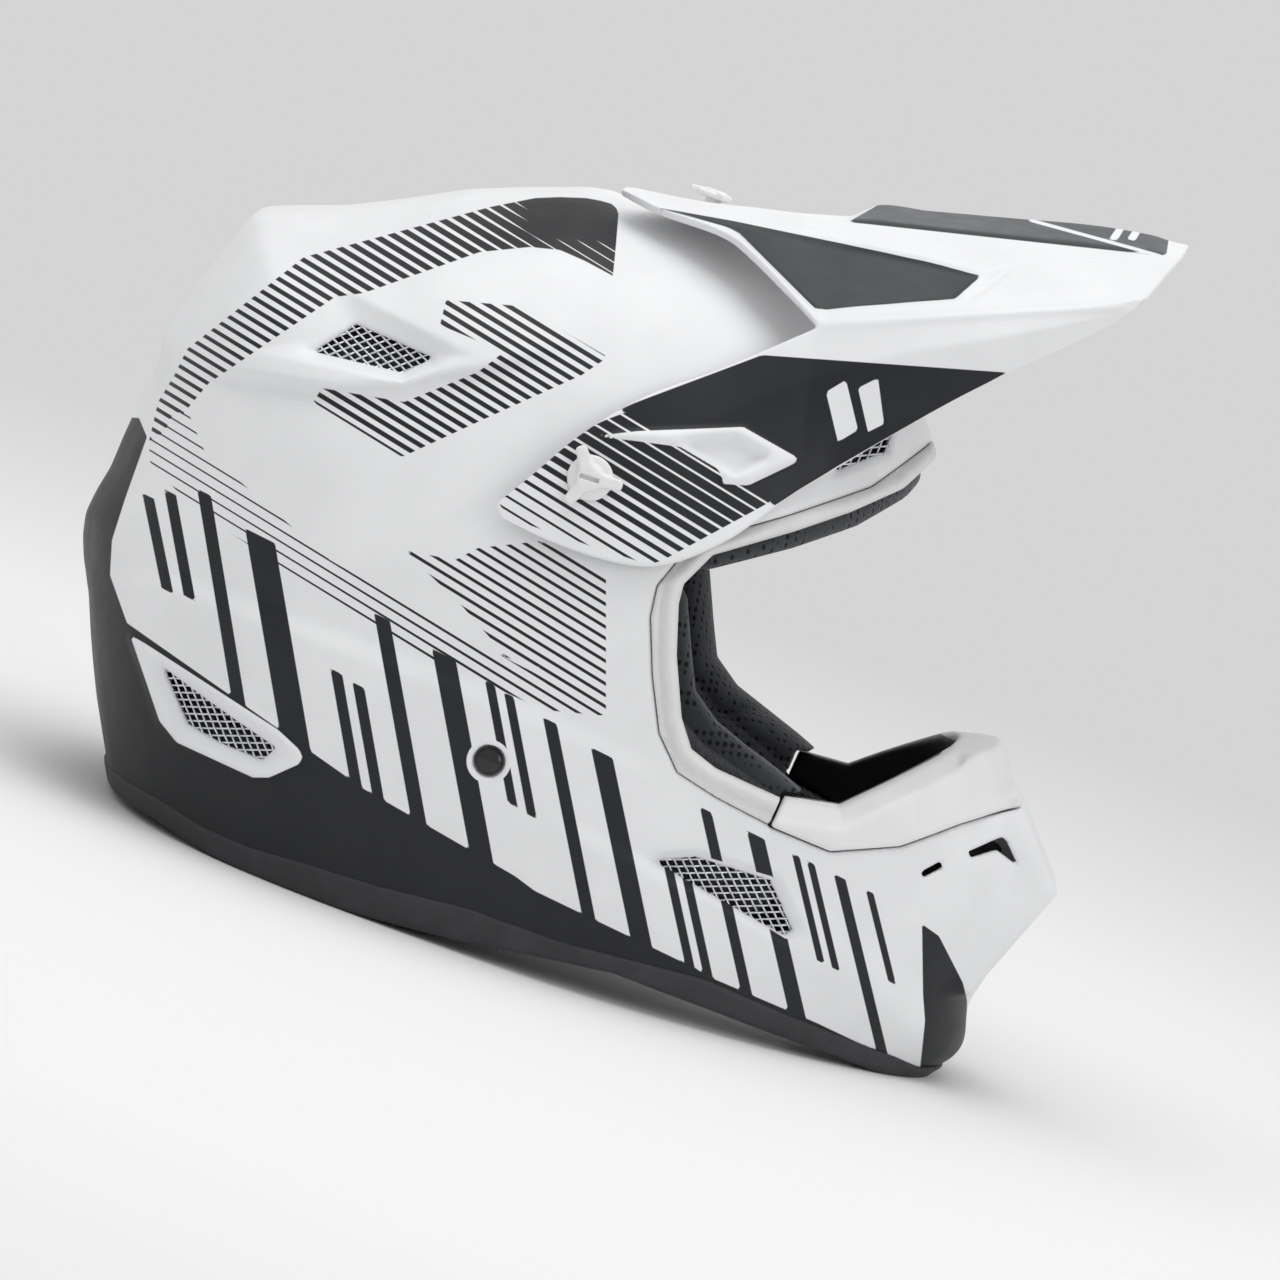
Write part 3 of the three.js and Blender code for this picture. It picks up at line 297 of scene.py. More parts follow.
def f_shell(x, y, z):
    d0 = skin(x, y, z)
    D, rc, low, eye, nose, sn, vent, slot = samp(("D", "rec", "low", "eye", "nose", "snout", "vent", "slot"), x, z)
    ay = np.abs(y)
    out = d0 - D
    out = smin(out, snout(x, y, z, sn), 4.0)
    r = rad(x, z, PIV)
    out = np.minimum(out, smax(r - 9.2, ay - 119.2, 0.8))
    rt = np.hypot(x - TSX, y)
    out = np.minimum(out, smax(rt - 9.5, z - 263.8, 0.8))
    # white eyelet round the strap rivet
    rr = rad(x, z, RIV)
    out = smin(out, np.hypot(rr - 6.3, ay - 121.3) - 1.6, 1.2)
    inner = np.minimum(d0 + np.maximum(4.0, 1.8 + rc), snout(x, y, z, sn, 3.4, 5.0))
    web = np.where(x > 120, np.minimum(6.0 - nose, d0 + 15.0), -50.0)
    inner = np.maximum(inner, web)
    f = smax(out, -inner, 1.0)
    f = smax(f, low + 2.8, 1.6)
    f = smax(f, -eye, 1.6)
    f = smax(f, 0.3 - nose, 1.2)
    f = smax(f, -mouth(x, y, z), 2.2)
    f = smax(f, np.where(ay > 12, -vent, -50.0), 1.4)
    f = smax(f, np.where(ay > 10, -slot, -50.0), 0.9)
    f = np.maximum(f, np.where((ay > 90) & (r < 40), 5.3 - r, -50.0))
    f = np.maximum(f, np.where(z > 240, 5.3 - rt, -50.0))
    bore = np.where(ay > 100, np.where(ay < 119.6, 3.4, 5.3 + np.clip(ay - 120.2, -0.6, 2.4) * 0.2), 0.0) - rr
    f = np.maximum(f, np.where(ay > 100, bore, -50.0))
    return f


def f_trim(x, y, z):
    d0 = skin(x, y, z)
    D, low, high = samp(("D", "low", "high"), x, z)
    out = d0 - D * 0.6 - 1.3
    f = smax(smax(out, -(d0 + 5.5), 1.6), smax(low, high, 0.5), 1.8)
    return np.maximum(f, -z + 0.0)


def f_gasket(x, y, z):
    d0 = skin(x, y, z)
    g, ei, nose = samp(("gask", "eyein", "nose"), x, z)
    bump = 1.7 * np.exp(-((ei - 2.6) / 2.2) ** 2) - 0.9 * np.exp(-((ei - 6.2) / 0.9) ** 2)
    # lower where the visor's wings pass over it
    dip = 2.0 * sst(144, 152, z) * (1 - sst(178, 190, z)) * sst(92, 99, np.abs(y))
    f = smax(smax(d0 - 0.9 - bump + dip, -(d0 + 5.5), 1.5), g + 0.25, 1.5)
    return smax(f, 0.3 - nose, 0.8)


def f_nose(x, y, z):
    d0 = skin(x, y, z)
    n, sn, top = samp(("nose", "snout", "ntop"), x, z)
    out = smin(d0 - 2.0, smax(snout(x, y, z, sn), 84 - z, 3.0), 5.0)
    # lip that slopes in and up to the top edge
    out = smax(out, (d0 - 2.0) * 0.66 + (7.6 + top) * 0.75 - 9.0 * sst(137, 149, x), 1.4)
    f = smax(out, -(d0 + 15.5), 5.0)
    f = smax(f, z - (119.8 + 0.25 * np.clip(x - 136, 0, 14) - 0.06 * np.abs(y)), 2.5)
    return smax(f, n + 0.3, 1.8)


def f_crown(x, y, z):
    d0 = skin(x, y, z)
    c, eye = samp(("crown", "eye"), x, z)
    f = smax(d0 + 7.6, c + 0.6, 2.0)
    f = smax(f, -head(x, y, z, 12.0), 2.0)
    f = np.maximum(f, np.where(np.abs(y) > 90, 11.4 - rad(x, z, PIV), -50))
    f = np.maximum(f, np.where(z > 240, 11.4 - np.hypot(x - TSX, y), -50))
    b = np.maximum(np.maximum(np.abs(x + 20) - 80, np.abs(y) - 70), np.abs(z - 85) - 65)
    return smax(f, -b, 2.0)


def f_chinfoam(x, y, z):
    d0 = skin(x, y, z)
    c, nose, ei, hi = samp(("chinA", "nose", "eyein", "high"), x, z)
    f = smax(smax(d0 + 8.0, c + 0.6, 2.0), -(d0 + 24), 3.0)
    f = smax(f, 1.6 - nose, 2.0)
    f = smax(f, 0.6 - ei, 1.0)
    f = smax(f, np.minimum(24.6 - np.abs(y), 42 - z), 2.0)
    f = smax(f, 3 - hi, 1.5)
    return f


def f_cheekfoam(x, y, z):
    d0 = skin(x, y, z)
    c, nose = samp(("foam", "nose"), x, z)
    f = smax(smax(d0 + 7.7, c + 0.6, 2.0), 88.9 - np.abs(y), 2.0)
    f = smax(f, -head(x, y, z, 12.2), 2.0)
    f = smax(f, 1.2 - nose, 1.0)
    # channel for the strap, outside the foam
    ch = np.maximum(np.maximum(np.abs(x + 15) - 27.4, z - 82.4), -(d0 + 21.0))
    return smax(f, -ch, 1.5)


def quilt(v, n=1.0):
    return n * np.exp(-(v / 1.5) ** 2)


def f_liner(x, y, z):
    (c,) = samp(("linerA",), x, z)
    # sewn channels: one on each side of the middle band, and three across
    s1 = np.abs(y) - 24 - 6 * np.sin((x + 30) / 70.0)
    s2 = np.abs(y) - 56
    t = HEAD[5]
    X = (x - HEAD[0]) * math.cos(t) + (z - HEAD[1]) * math.sin(t)
    s3 = (np.abs(X + 8) - 44)
    seam = np.minimum(np.minimum(np.abs(s1), np.where(np.abs(y) > 24, np.abs(s2), 99)), np.where(np.abs(y) < 60, np.abs(s3), 99))
    puff = 5.2 * np.exp(-(seam / 3.2) ** 1.2)
    crown = 3.0 * np.exp(-np.maximum(-c, 0) / 6.0)
    f = smax(head(x, y, z, 10.6), -(head(x, y, z, 0.0) - 0.3 - puff * 0.75 - crown * 0.6), 4.0)
    f = smax(f, c + 0.8, 1.4)
    # padded roll along the brow, under the gasket
    (b,) = samp(("brow",), x, z)
    d0 = skin(x, y, z)
    roll = smax(smax(d0 + 7.4, -(d0 + 30.0), 3.0), b + 0.2, 3.0)
    return np.minimum(f, roll)


def f_cheek(x, y, z):
    d0 = skin(x, y, z)
    c, nose = samp(("cheek", "nose"), x, z)
    ay = np.abs(y)
    yin = 64 - 4 * np.clip((x + 50) / 140, 0, 1)
    # two sewn panels: a long one by the jaw and one above it
    s = z - (66 + 0.42 * (x + 10))
    seam = 3.6 * np.exp(-(np.abs(s) / 3.0) ** 1.3) + 2.6 * np.exp(-(np.abs(c + 11) / 2.4) ** 1.3)
    f = smax(c + 1.0, yin + 1.0 + seam - ay, 17.0)
    f = smax(f, ay - 87.6, 3.0)
    f = smax(f, d0 + 7.6, 2.0)
    f = smax(f, -head(x, y, z, 0.6), 4.0)
    return smax(f, 1.2 - nose, 1.0)


def f_neck(x, y, z):
    d0 = skin(x, y, z)
    (c,) = samp(("neck",), x, z)
    ang = np.arctan2(y, -(x + 60))
    seam = 1.6 * np.exp(-(np.abs(np.abs(ang) - 0.62) * 60 / 2.2) ** 1.4)
    f = smax(smax(d0 + 6.2, -(d0 + 25.0), 9.0), c + 1.2, 9.0) + seam
    return smax(f, -head(x, y, z, 3.6), 2.0)


# ------------------------------------------------------------------ meshes from fields
def field_mesh(name, f, lo, hi, h, mirror=True, iters=3, move=1.6):
    """A smooth closed mesh of the region where f is negative, symmetric in y if mirror."""
    x = np.arange(lo[0], hi[0] + h, h)
    z = np.arange(lo[2], hi[2] + h, h)
    if mirror:
        ny = int(math.ceil(hi[1] / h)) + 1
        y = np.arange(ny) * h
    else:
        y = np.arange(lo[1], hi[1] + h, h)
    vol = np.empty((len(x), len(y), len(z)), np.float32)
    X2, Z2 = np.meshgrid(x, z, indexing="ij")
    X2, Z2 = X2.ravel(), Z2.ravel()
    for j, yy in enumerate(y):
        vol[:, j, :] = f(X2, np.full(X2.shape, yy), Z2).reshape(len(x), len(z))
    if mirror:
        vol = np.concatenate([vol[:, :0:-1, :], vol], 1)
        y0 = -(len(y) - 1) * h
    else:
        y0 = y[0]
    vol = np.clip(vol, -3 * h, 3 * h)
    vol[[0, -1]] = 3 * h
    vol[:, [0, -1]] = 3 * h
    vol[:, :, [0, -1]] = 3 * h
    grid = openvdb.FloatGrid(3 * h)
    grid.copyFromArray(np.ascontiguousarray(vol))
    pts, quads = grid.convertToQuads(0.0)
    P = np.asarray(pts, float) * h + np.array([x[0], y0, z[0]])
    start = P.copy()
    e = 0.25
    for _ in range(iters):
        v = f(P[:, 0], P[:, 1], P[:, 2])
        g = np.stack([f(P[:, 0] + e, P[:, 1], P[:, 2]) - f(P[:, 0] - e, P[:, 1], P[:, 2]),
                      f(P[:, 0], P[:, 1] + e, P[:, 2]) - f(P[:, 0], P[:, 1] - e, P[:, 2]),
                      f(P[:, 0], P[:, 1], P[:, 2] + e) - f(P[:, 0], P[:, 1], P[:, 2] - e)], -1) / (2 * e)
        n2 = np.maximum((g * g).sum(1), 0.09)
        step = -(v / n2)[:, None] * g
        l = np.linalg.norm(step, axis=1, keepdims=True)
        P = P + step * np.minimum(1, 0.6 * h / np.maximum(l, 1e-9))
        off = P - start
        l = np.linalg.norm(off, axis=1, keepdims=True)
        P = start + off * np.minimum(1, h * move / 1.6 / np.maximum(l, 1e-9))
    quads = np.asarray(quads, int)
    a, b, c, d = (P[quads[:, k]] for k in range(4))
    n = np.cross(c - a, d - b)
    m = (a + b + c + d) / 4
    n /= np.maximum(np.linalg.norm(n, axis=1, keepdims=True), 1e-9)
    q = m[:: max(1, len(m) // 4000)]
    nn = n[:: max(1, len(m) // 4000)]
    grow = (f(q[:, 0] + nn[:, 0] * .5, q[:, 1] + nn[:, 1] * .5, q[:, 2] + nn[:, 2] * .5) - f(q[:, 0] - nn[:, 0] * .5, q[:, 1] - nn[:, 1] * .5, q[:, 2] - nn[:, 2] * .5)).mean()
    if grow < 0:
        quads = quads[:, ::-1]
    return quad_object(name, P, quads), P


def quad_object(name, P, faces, smooth=True):
    """An object from points in drawing mm and faces of equal size."""
    faces = np.asarray(faces, np.int32)
    me = bpy.data.meshes.new(name)
    me.vertices.add(len(P))
    co = (np.asarray(P, float) + np.array([SHIFT, 0, 0])) / 1000
    me.vertices.foreach_set("co", co.astype(np.float32).ravel())
    n = faces.shape[1]
    me.loops.add(faces.size)
    me.loops.foreach_set("vertex_index", faces.ravel())
    me.polygons.add(len(faces))
    me.polygons.foreach_set("loop_start", np.arange(len(faces), dtype=np.int32) * n)
    me.polygons.foreach_set("loop_total", np.full(len(faces), n, np.int32))
    me.update(calc_edges=True)
    me.validate()
    if smooth:
        me.polygons.foreach_set("use_smooth", np.ones(len(me.polygons), bool))
    o = bpy.data.objects.new(name, me)
    scene.collection.objects.link(o)
    return o


def attr(o, name, values):
    a = o.data.attributes.new(name, "FLOAT", "POINT")
    a.data.foreach_set("value", np.asarray(values, np.float32).ravel())


def place(o, body, slot, *stands_for):
    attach(o, body)
    if stands_for:
        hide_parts(*stands_for)
    return o


# ------------------------------------------------------------------ materials
class Mat:
    """A node material; colours and values that don't vary are set on the shader."""

    def __init__(self, name, color=(0.5, 0.5, 0.5), rough=0.5, metal=0.0, spec=0.5):
        self.m = bpy.data.materials.new(name)
        self.m.use_nodes = True
        self.t = self.m.node_tree
        self.b = self.t.nodes["Principled BSDF"]
        self.b.inputs["Base Color"].default_value = (*color, 1)
        self.b.inputs["Roughness"].default_value = rough
        self.b.inputs["Metallic"].default_value = metal
        self.b.inputs["Specular IOR Level"].default_value = spec
        self._c = None

    def coord(self):
        if self._c is None:
            self._c = self.t.nodes.new("ShaderNodeTexCoord").outputs["Object"]
        return self._c

    def put(self, sock, v):
        if isinstance(v, bpy.types.NodeSocket):
            self.t.links.new(v, sock)
        else:
            sock.default_value = v

    def math(self, op, a, b=0.0, c=None):
        n = self.t.nodes.new("ShaderNodeMath")
        n.operation = op
        self.put(n.inputs[0], a)
        self.put(n.inputs[1], b)
        if c is not None:
            self.put(n.inputs[2], c)
        return n.outputs[0]

    def ramp(self, v, a, b, c=0.0, d=1.0):
        n = self.t.nodes.new("ShaderNodeMapRange")
        self.put(n.inputs[0], v)
        for i, x in enumerate((a, b, c, d)):
            n.inputs[i + 1].default_value = x
        return n.outputs[0]

    def mix(self, fac, a, b):
        n = self.t.nodes.new("ShaderNodeMix")
        n.data_type = "RGBA"
        self.put(n.inputs["Factor"], fac)
        ia, ib = [s for s in n.inputs if s.name == "A" and s.type == "RGBA"][0], [s for s in n.inputs if s.name == "B" and s.type == "RGBA"][0]
        self.put(ia, (*a, 1) if isinstance(a, tuple) and len(a) == 3 else a)
        self.put(ib, (*b, 1) if isinstance(b, tuple) and len(b) == 3 else b)
        return [s for s in n.outputs if s.type == "RGBA"][0]

    def noise(self, scale, detail=2.0, rough=0.5, vec=None):
        n = self.t.nodes.new("ShaderNodeTexNoise")
        self.put(n.inputs["Vector"], vec or self.coord())
        n.inputs["Scale"].default_value = scale
        n.inputs["Detail"].default_value = detail
        n.inputs["Roughness"].default_value = rough
        return n.outputs[0]

    def voronoi(self, scale, feature="F1", vec=None, rnd=1.0):
        n = self.t.nodes.new("ShaderNodeTexVoronoi")
        n.feature = feature
        self.put(n.inputs["Vector"], vec or self.coord())
        n.inputs["Scale"].default_value = scale
        n.inputs["Randomness"].default_value = rnd
        return n.outputs[0]

    def stretch(self, sx, sy, sz, rot=(0, 0, 0)):
        n = self.t.nodes.new("ShaderNodeMapping")
        self.put(n.inputs["Vector"], self.coord())
        n.inputs["Scale"].default_value = (sx, sy, sz)
        n.inputs["Rotation"].default_value = rot
        return n.outputs[0]

    def attribute(self, name):
        n = self.t.nodes.new("ShaderNodeAttribute")
        n.attribute_name = name
        return n.outputs["Fac"]

    def bump(self, height, strength=0.3, distance=0.0002):
        n = self.t.nodes.new("ShaderNodeBump")
        n.inputs["Strength"].default_value = strength
        n.inputs["Distance"].default_value = distance
        self.put(n.inputs["Height"], height)
        self.t.links.new(n.outputs[0], self.b.inputs["Normal"])

    def to(self, name, v):
        self.put(self.b.inputs[name], v)


WHITE, WHITE2 = (0.80, 0.805, 0.81), (0.765, 0.77, 0.775)
INK, INK2 = (0.0095, 0.0105, 0.0115), (0.0125, 0.0135, 0.0145)


def painted(name, stripes=True, panel=False, white=WHITE, white2=WHITE2):
    """Satin paint: white and black by the attributes that the mesh carries."""
    m = Mat(name, white, 0.42)
    cloud = m.ramp(m.noise(38.0, 3.0), 0.35, 0.65)
    w = m.mix(cloud, white, white2)
    k = m.mix(cloud, INK, INK2)
    ink = m.ramp(m.attribute("ink"), -0.14, 0.14, 1.0, 0.0)
    if stripes:
        fr = m.math("FRACT", m.attribute("su"))
        tri = m.math("MULTIPLY", m.math("ABSOLUTE", m.math("SUBTRACT", fr, 0.5)), 2.0)
        bar = m.ramp(m.math("SUBTRACT", tri, m.attribute("sw")), -0.05, 0.05, 1.0, 0.0)
        reg = m.ramp(m.attribute("sd"), -0.14, 0.14, 1.0, 0.0)
        ink = m.math("MAXIMUM", ink, m.math("MULTIPLY", bar, reg))
    clear = m.ramp(m.attribute("wh"), -0.14, 0.14, 0.0, 1.0)
    ink = m.math("MULTIPLY", ink, clear)
    col = m.mix(ink, w, k)
    if panel:
        col = m.mix(m.ramp(m.attribute("pn"), -0.14, 0.14, 1.0, 0.0), col, m.mix(cloud, (0.024, 0.028, 0.031), (0.029, 0.033, 0.036)))
    m.to("Base Color", col)
    speck = m.noise(2600.0, 2.0, 0.6)
    m.to("Roughness", m.math("ADD", m.math("ADD", m.ramp(m.noise(140.0, 3.0), 0.3, 0.7, 0.36, 0.42), m.math("MULTIPLY", ink, 0.06)), m.math("MULTIPLY", speck, 0.05)))
    m.b.inputs["Specular IOR Level"].default_value = 0.32
    m.bump(m.math("ADD", m.math("MULTIPLY", speck, 0.5), m.math("MULTIPLY", m.noise(420.0, 2.0), 0.8)), 0.10, 0.00025)
    return m.m


def moulded(name, color, rough, color2=None, bump=0.22, scale=1400.0, spec=0.5, black=None):
    """Moulded rubber or plastic with a fine texture and slight wear of colour."""
    m = Mat(name, color, rough, 0.0, spec)
    c2 = color2 or tuple(min(1, c * 1.25 + 0.003) for c in color)
    col = m.mix(m.ramp(m.noise(60.0, 4.0, 0.6), 0.35, 0.7), color, c2)
    if black:
        col = m.mix(m.ramp(m.attribute(black), -0.2, 0.2, 1.0, 0.0), col, (0.014, 0.015, 0.016))
    m.to("Base Color", col)
    m.to("Roughness", m.ramp(m.noise(220.0, 3.0), 0.3, 0.7, max(0.05, rough - 0.06), min(1, rough + 0.06)))
    m.bump(m.math("ADD", m.noise(scale, 3.0, 0.6), m.math("MULTIPLY", m.voronoi(scale * 0.7), 0.6)), bump, 0.0002)
    return m.m


def steel(name, color=(0.62, 0.63, 0.65), rough=0.24):
    m = Mat(name, color, rough, 1.0)
    br = m.noise(900.0, 3.0, 0.6, m.stretch(1.0, 0.08, 1.0))
    m.to("Base Color", m.mix(m.ramp(m.noise(120.0, 3.0), 0.3, 0.7), color, tuple(c * 0.82 for c in color)))
    m.to("Roughness", m.ramp(br, 0.3, 0.7, rough - 0.07, rough + 0.1))
    m.bump(br, 0.08, 0.0001)
    return m.m


def spacer(name, color=(0.028, 0.030, 0.032), hi=(0.075, 0.079, 0.083), pitch=0.0026, depth=0.00055):
    """Knitted spacer mesh: a soft lattice whose holes are painted near-black as painted shade, with the knit's ribs.
    """
    m = Mat(name, color, 0.88, 0.0, 0.25)
    vec = m.stretch(1.0, 1.25, 0.8, (0.3, 0.2, 0.0))
    hole = m.voronoi(1.0 / pitch, "F1", vec, 0.12)
    rim = m.ramp(hole, 0.22, 0.40)
    fibre = m.noise(5200.0, 2.0, 0.7)
    # painted shade: the holes are coloured near-black for the shade inside them; the fibre noise varies the lattice's
    # tone
    shade = m.math("MULTIPLY", rim, m.ramp(fibre, 0.3, 0.7, 0.55, 1.0))
    m.to("Base Color", m.mix(shade, tuple(c * 0.18 for c in color), m.mix(m.ramp(m.noise(26.0, 3.0), 0.35, 0.65), hi, tuple(c * 0.75 for c in hi))))
    m.b.inputs["Sheen Weight"].default_value = 0.25
    m.b.inputs["Sheen Roughness"].default_value = 0.5
    m.to("Roughness", m.ramp(fibre, 0.2, 0.8, 0.8, 0.95))
    m.bump(m.math("ADD", rim, m.math("MULTIPLY", fibre, 0.35)), 0.8, depth)
    return m.m


def brushed(name, color=(0.021, 0.022, 0.024)):
    """Short-pile lining cloth with a fine rib."""
    m = Mat(name, color, 0.95, 0.0, 0.2)
    rib = m.noise(2400.0, 2.0, 0.5, m.stretch(1.0, 0.35, 1.0, (0.2, 0.5, 0.1)))
    m.to("Base Color", m.mix(m.ramp(rib, 0.3, 0.7), color, tuple(c * 2.2 for c in color)))
    m.to("Roughness", m.ramp(m.noise(90.0, 3.0), 0.3, 0.7, 0.85, 0.98))
    m.b.inputs["Sheen Weight"].default_value = 0.35
    m.b.inputs["Sheen Roughness"].default_value = 0.45
    m.bump(m.math("ADD", rim_noise(m), rib), 0.5, 0.0003)
    return m.m


def rim_noise(m):
    return m.noise(5000.0, 2.0, 0.6)


def beads(name, color=(0.030, 0.031, 0.033)):
    """Moulded bead foam: fused cells a few millimetres across."""
    m = Mat(name, color, 0.75, 0.0, 0.3)
    cell = m.voronoi(330.0, "DISTANCE_TO_EDGE")
    edge = m.ramp(cell, 0.0, 0.09)
    m.to("Base Color", m.mix(edge, tuple(c * 0.45 for c in color), m.mix(m.voronoi(330.0), color, tuple(c * 1.8 for c in color))))
    m.to("Roughness", m.ramp(m.noise(300.0, 2.0), 0.3, 0.7, 0.66, 0.82))
    m.bump(edge, 0.45, 0.0004)
    return m.m


def webbing(name, color=(0.020, 0.021, 0.023)):
    """Flat woven webbing: rows along the strap and picks across it."""
    m = Mat(name, color, 0.8, 0.0, 0.35)
    w = m.t.nodes.new("ShaderNodeTexWave")
    w.wave_type, w.bands_direction = "BANDS", "X"
    m.put(w.inputs["Vector"], m.coord())
    w.inputs["Scale"].default_value = 300.0
    v = m.t.nodes.new("ShaderNodeTexWave")
    v.wave_type, v.bands_direction = "BANDS", "DIAGONAL"
    m.put(v.inputs["Vector"], m.stretch(0.0, 1.0, 1.0))
    v.inputs["Scale"].default_value = 260.0
    h = m.math("MULTIPLY", w.outputs["Fac"], m.ramp(v.outputs["Fac"], 0, 1, 0.4, 1.0))
    m.to("Base Color", m.mix(h, tuple(c * 0.5 for c in color), tuple(c * 2.0 for c in color)))
    m.b.inputs["Sheen Weight"].default_value = 0.2
    m.to("Roughness", m.ramp(h, 0, 1, 0.88, 0.7))
    m.bump(m.math("ADD", h, m.math("MULTIPLY", m.noise(4000.0), 0.25)), 0.7, 0.0004)
    return m.m


MATS = {
    "shell": painted("paint_shell"),
    "visor": painted("paint_visor", panel=True),
    "plain": moulded("white_plastic", (0.80, 0.80, 0.80), 0.38, (0.77, 0.77, 0.775), 0.12, 1800.0),
    "trim": moulded("black_rubber", (0.020, 0.021, 0.022), 0.62, (0.030, 0.031, 0.033)),
    "gasket": moulded("white_rubber", (0.71, 0.71, 0.705), 0.52, (0.66, 0.66, 0.655), 0.3, 1100.0),
    "guard": moulded("guard_rubber", (0.78, 0.78, 0.78), 0.5, (0.74, 0.74, 0.74), 0.25, 1300.0, 0.5, "ink"),
    "foam": beads("bead_foam"),
    "spacer": spacer("spacer_mesh"),
    "lining": brushed("lining_cloth"),
    "web": webbing("strap_webbing"),
    "steel": steel("ring_steel"),
    "nickel": steel("insert_nickel", (0.55, 0.54, 0.50), 0.3),
    "wire": steel("grille_wire", (0.74, 0.75, 0.76), 0.38),
    "gloss": moulded("gloss_black", (0.009, 0.009, 0.010), 0.09, (0.012, 0.012, 0.013), 0.04, 600.0),
    "black": moulded("black_plastic", (0.018, 0.018, 0.019), 0.45, (0.026, 0.026, 0.027)),
}


def dress(o, *keys):
    o.data.materials.clear()
    for k in keys:
        o.data.materials.append(MATS[k])
    return o


# ------------------------------------------------------------------ pattern of the shell, on the drawing plane
C32, S32 = math.cos(math.radians(31.5)), math.sin(math.radians(31.5))


def stripe_u(u, v, pitch, shift=0.0):
    return ((v * C32 - u * S32) + shift) / pitch


LOWLINE = [(112, 560), (127, 623), (217, 686), (276, 727), (364, 789), (399, 809), (515, 876), (535, 891), (695, 968), (712, 978), (817, 1023), (859, 1043), (920, 1068)]
TOPLINE = [(119, 509), (200, 499), (235, 528), (326, 593), (484, 689), (546, 728), (610, 767), (670, 801), (804, 868), (900, 915)]


def shell_pattern(u, v):
    low = psd(u, v, [(20, 410), (139, 418), (147, 437), (125, 499), (112, 540), (110, 575)] + LOWLINE[1:] + [(930, 1150), (20, 1150)])
    chin = psd(u, v, [(922, 924), (939, 936), (963, 983), (967, 1000), (967, 1120), (940, 1120), (920, 1069), (925, 1021), (923, 995)])
    ink = np.minimum(low, chin)
    # plain slanted slits, all leaning alike: whole ones part the band into blocks, and short pairs comb every second block
    for tu, w, f0, f1 in ((150, 6, -0.06, 0.55), (172, 6, -0.06, 0.55), (206, 7, -0.06, 1.12), (262, 15, -0.06, 1.12), (322, 6, 0.42, 1.12), (344, 6, 0.42, 1.12),
                          (384, 8, -0.06, 1.12), (446, 12, -0.06, 1.12), (492, 5, -0.06, 0.58), (511, 5, -0.06, 0.58), (552, 7, -0.06, 1.12), (604, 11, -0.06, 1.12),
                          (652, 5, 0.42, 1.12), (670, 5, 0.42, 1.12), (708, 6, -0.06, 1.12), (758, 9, -0.06, 1.12), (798, 4, -0.06, 0.58), (813, 4, -0.06, 0.58),
                          (842, 6, -0.06, 1.12), (872, 4, -0.06, 0.5)):
        tv = float(line(tu, TOPLINE))
        bu = tu + 30 + 0.012 * tu
        bv = float(line(bu, LOWLINE))
        p0 = (tu + (bu - tu) * f0, tv + (bv - tv) * f0)
        p1 = (tu + (bu - tu) * f1, tv + (bv - tv) * f1)
        ink = np.minimum(ink, psd(u, v, [(p0[0] - w, p0[1] - w * 0.5), (p0[0] + w, p0[1] + w * 0.5), (p1[0] + w, p1[1] + w * 0.5), (p1[0] - w, p1[1] - w * 0.5)]))
    wh = np.minimum(psd(u, v, REARP) - 0.5, psd(u, v, [(p[0], p[1]) for p in CHINP]) + 6)
    # fine stripes
    r1 = psd(u, v, [(149, 441), (158, 402), (175, 374), (187, 349), (304, 257), (323, 252), (490, 207), (535, 198), (560, 197), (586, 198), (600, 200.5), (611, 203.5), (616.5, 208), (618.5, 214), (616, 245), (613, 276), (585, 261), (560, 250), (530, 247), (480, 252), (364, 293), (335, 297), (209, 383), (188, 408), (170, 442)])
    r2 = psd(u, v, [(446, 300), (520, 306), (608, 357), (582, 375), (480, 421), (402, 457), (313, 402), (322, 388), (404, 402), (478, 372), (504, 352), (440, 325)])
    r4 = psd(u, v, [(149, 441), (166, 398), (188, 412), (204, 450), (330, 560), (470, 640), (600, 706), (606, 716), (545, 710), (420, 655), (300, 580), (190, 505), (150, 462)])
    r3 = psd(u, v, [(541, 541), (606, 576), (606, 712), (541, 690)])
    r5 = psd(u, v, [(404, 550), (455, 560), (478, 548), (541, 541), (541, 668), (505, 655), (462, 606)])
    sd = np.minimum.reduce([r1, r2, r3, r4, r5])
    w1 = 0.40 + 0.2 * sst(180, 420, u) + 0.31 * sst(430, 560, u) + 0.35 * (1 - sst(30, 44, (v - 197) - 0.05 * (u - 500) + 0.0 * u)) * sst(500, 560, u)
    w4 = 0.16 + 0.14 * sst(200, 560, u)
    w = np.where(sd == r1, w1, np.where(sd == r2, 0.50, np.where(sd == r4, w4, 0.34)))
    return ink / PX, wh / PX, sd / PX, stripe_u(u, v, 9.7), w


# ------------------------------------------------------------------ rigid skins
shell_o, P = field_mesh("shell_skin", f_shell, (-192, -132, -4), (192, 132, 268), 1.3)
u, v = drawn(P[:, 0], P[:, 1], P[:, 2])
ink, wh, sd, su, sw = shell_pattern(u, v)
# behind the outer skin everything is plain black
deep = skin(P[:, 0], P[:, 1], P[:, 2])
(rcv,) = samp(("rec",), P[:, 0], P[:, 2])
inside = (deep < -2.6 - rcv) & ~((P[:, 0] > 118) & (P[:, 2] > 30) & (np.abs(P[:, 1]) < 60))
ink = np.where(inside, -3.0, ink)
sn_zone = (P[:, 0] > 128) & (psd(P[:, 0], P[:, 2], SNOUT) < 5) & (P[:, 2] > 44)
(snv,) = samp(("snout",), P[:, 0], P[:, 2])
hollow = (snout(P[:, 0], P[:, 1], P[:, 2], snv, 1.4, 5.0) < 0) & (deep > -30) & (P[:, 0] > 126) & (P[:, 2] > 34) & (deep < 40) & ((deep > -1.0) | (np.abs(P[:, 1]) < 26)) & (rcv < 0.4) & (deep - 0 > -14)
ink = np.where(hollow & (deep < -1.4), -3.0, ink)
wh = np.where(inside, 3.0, wh)
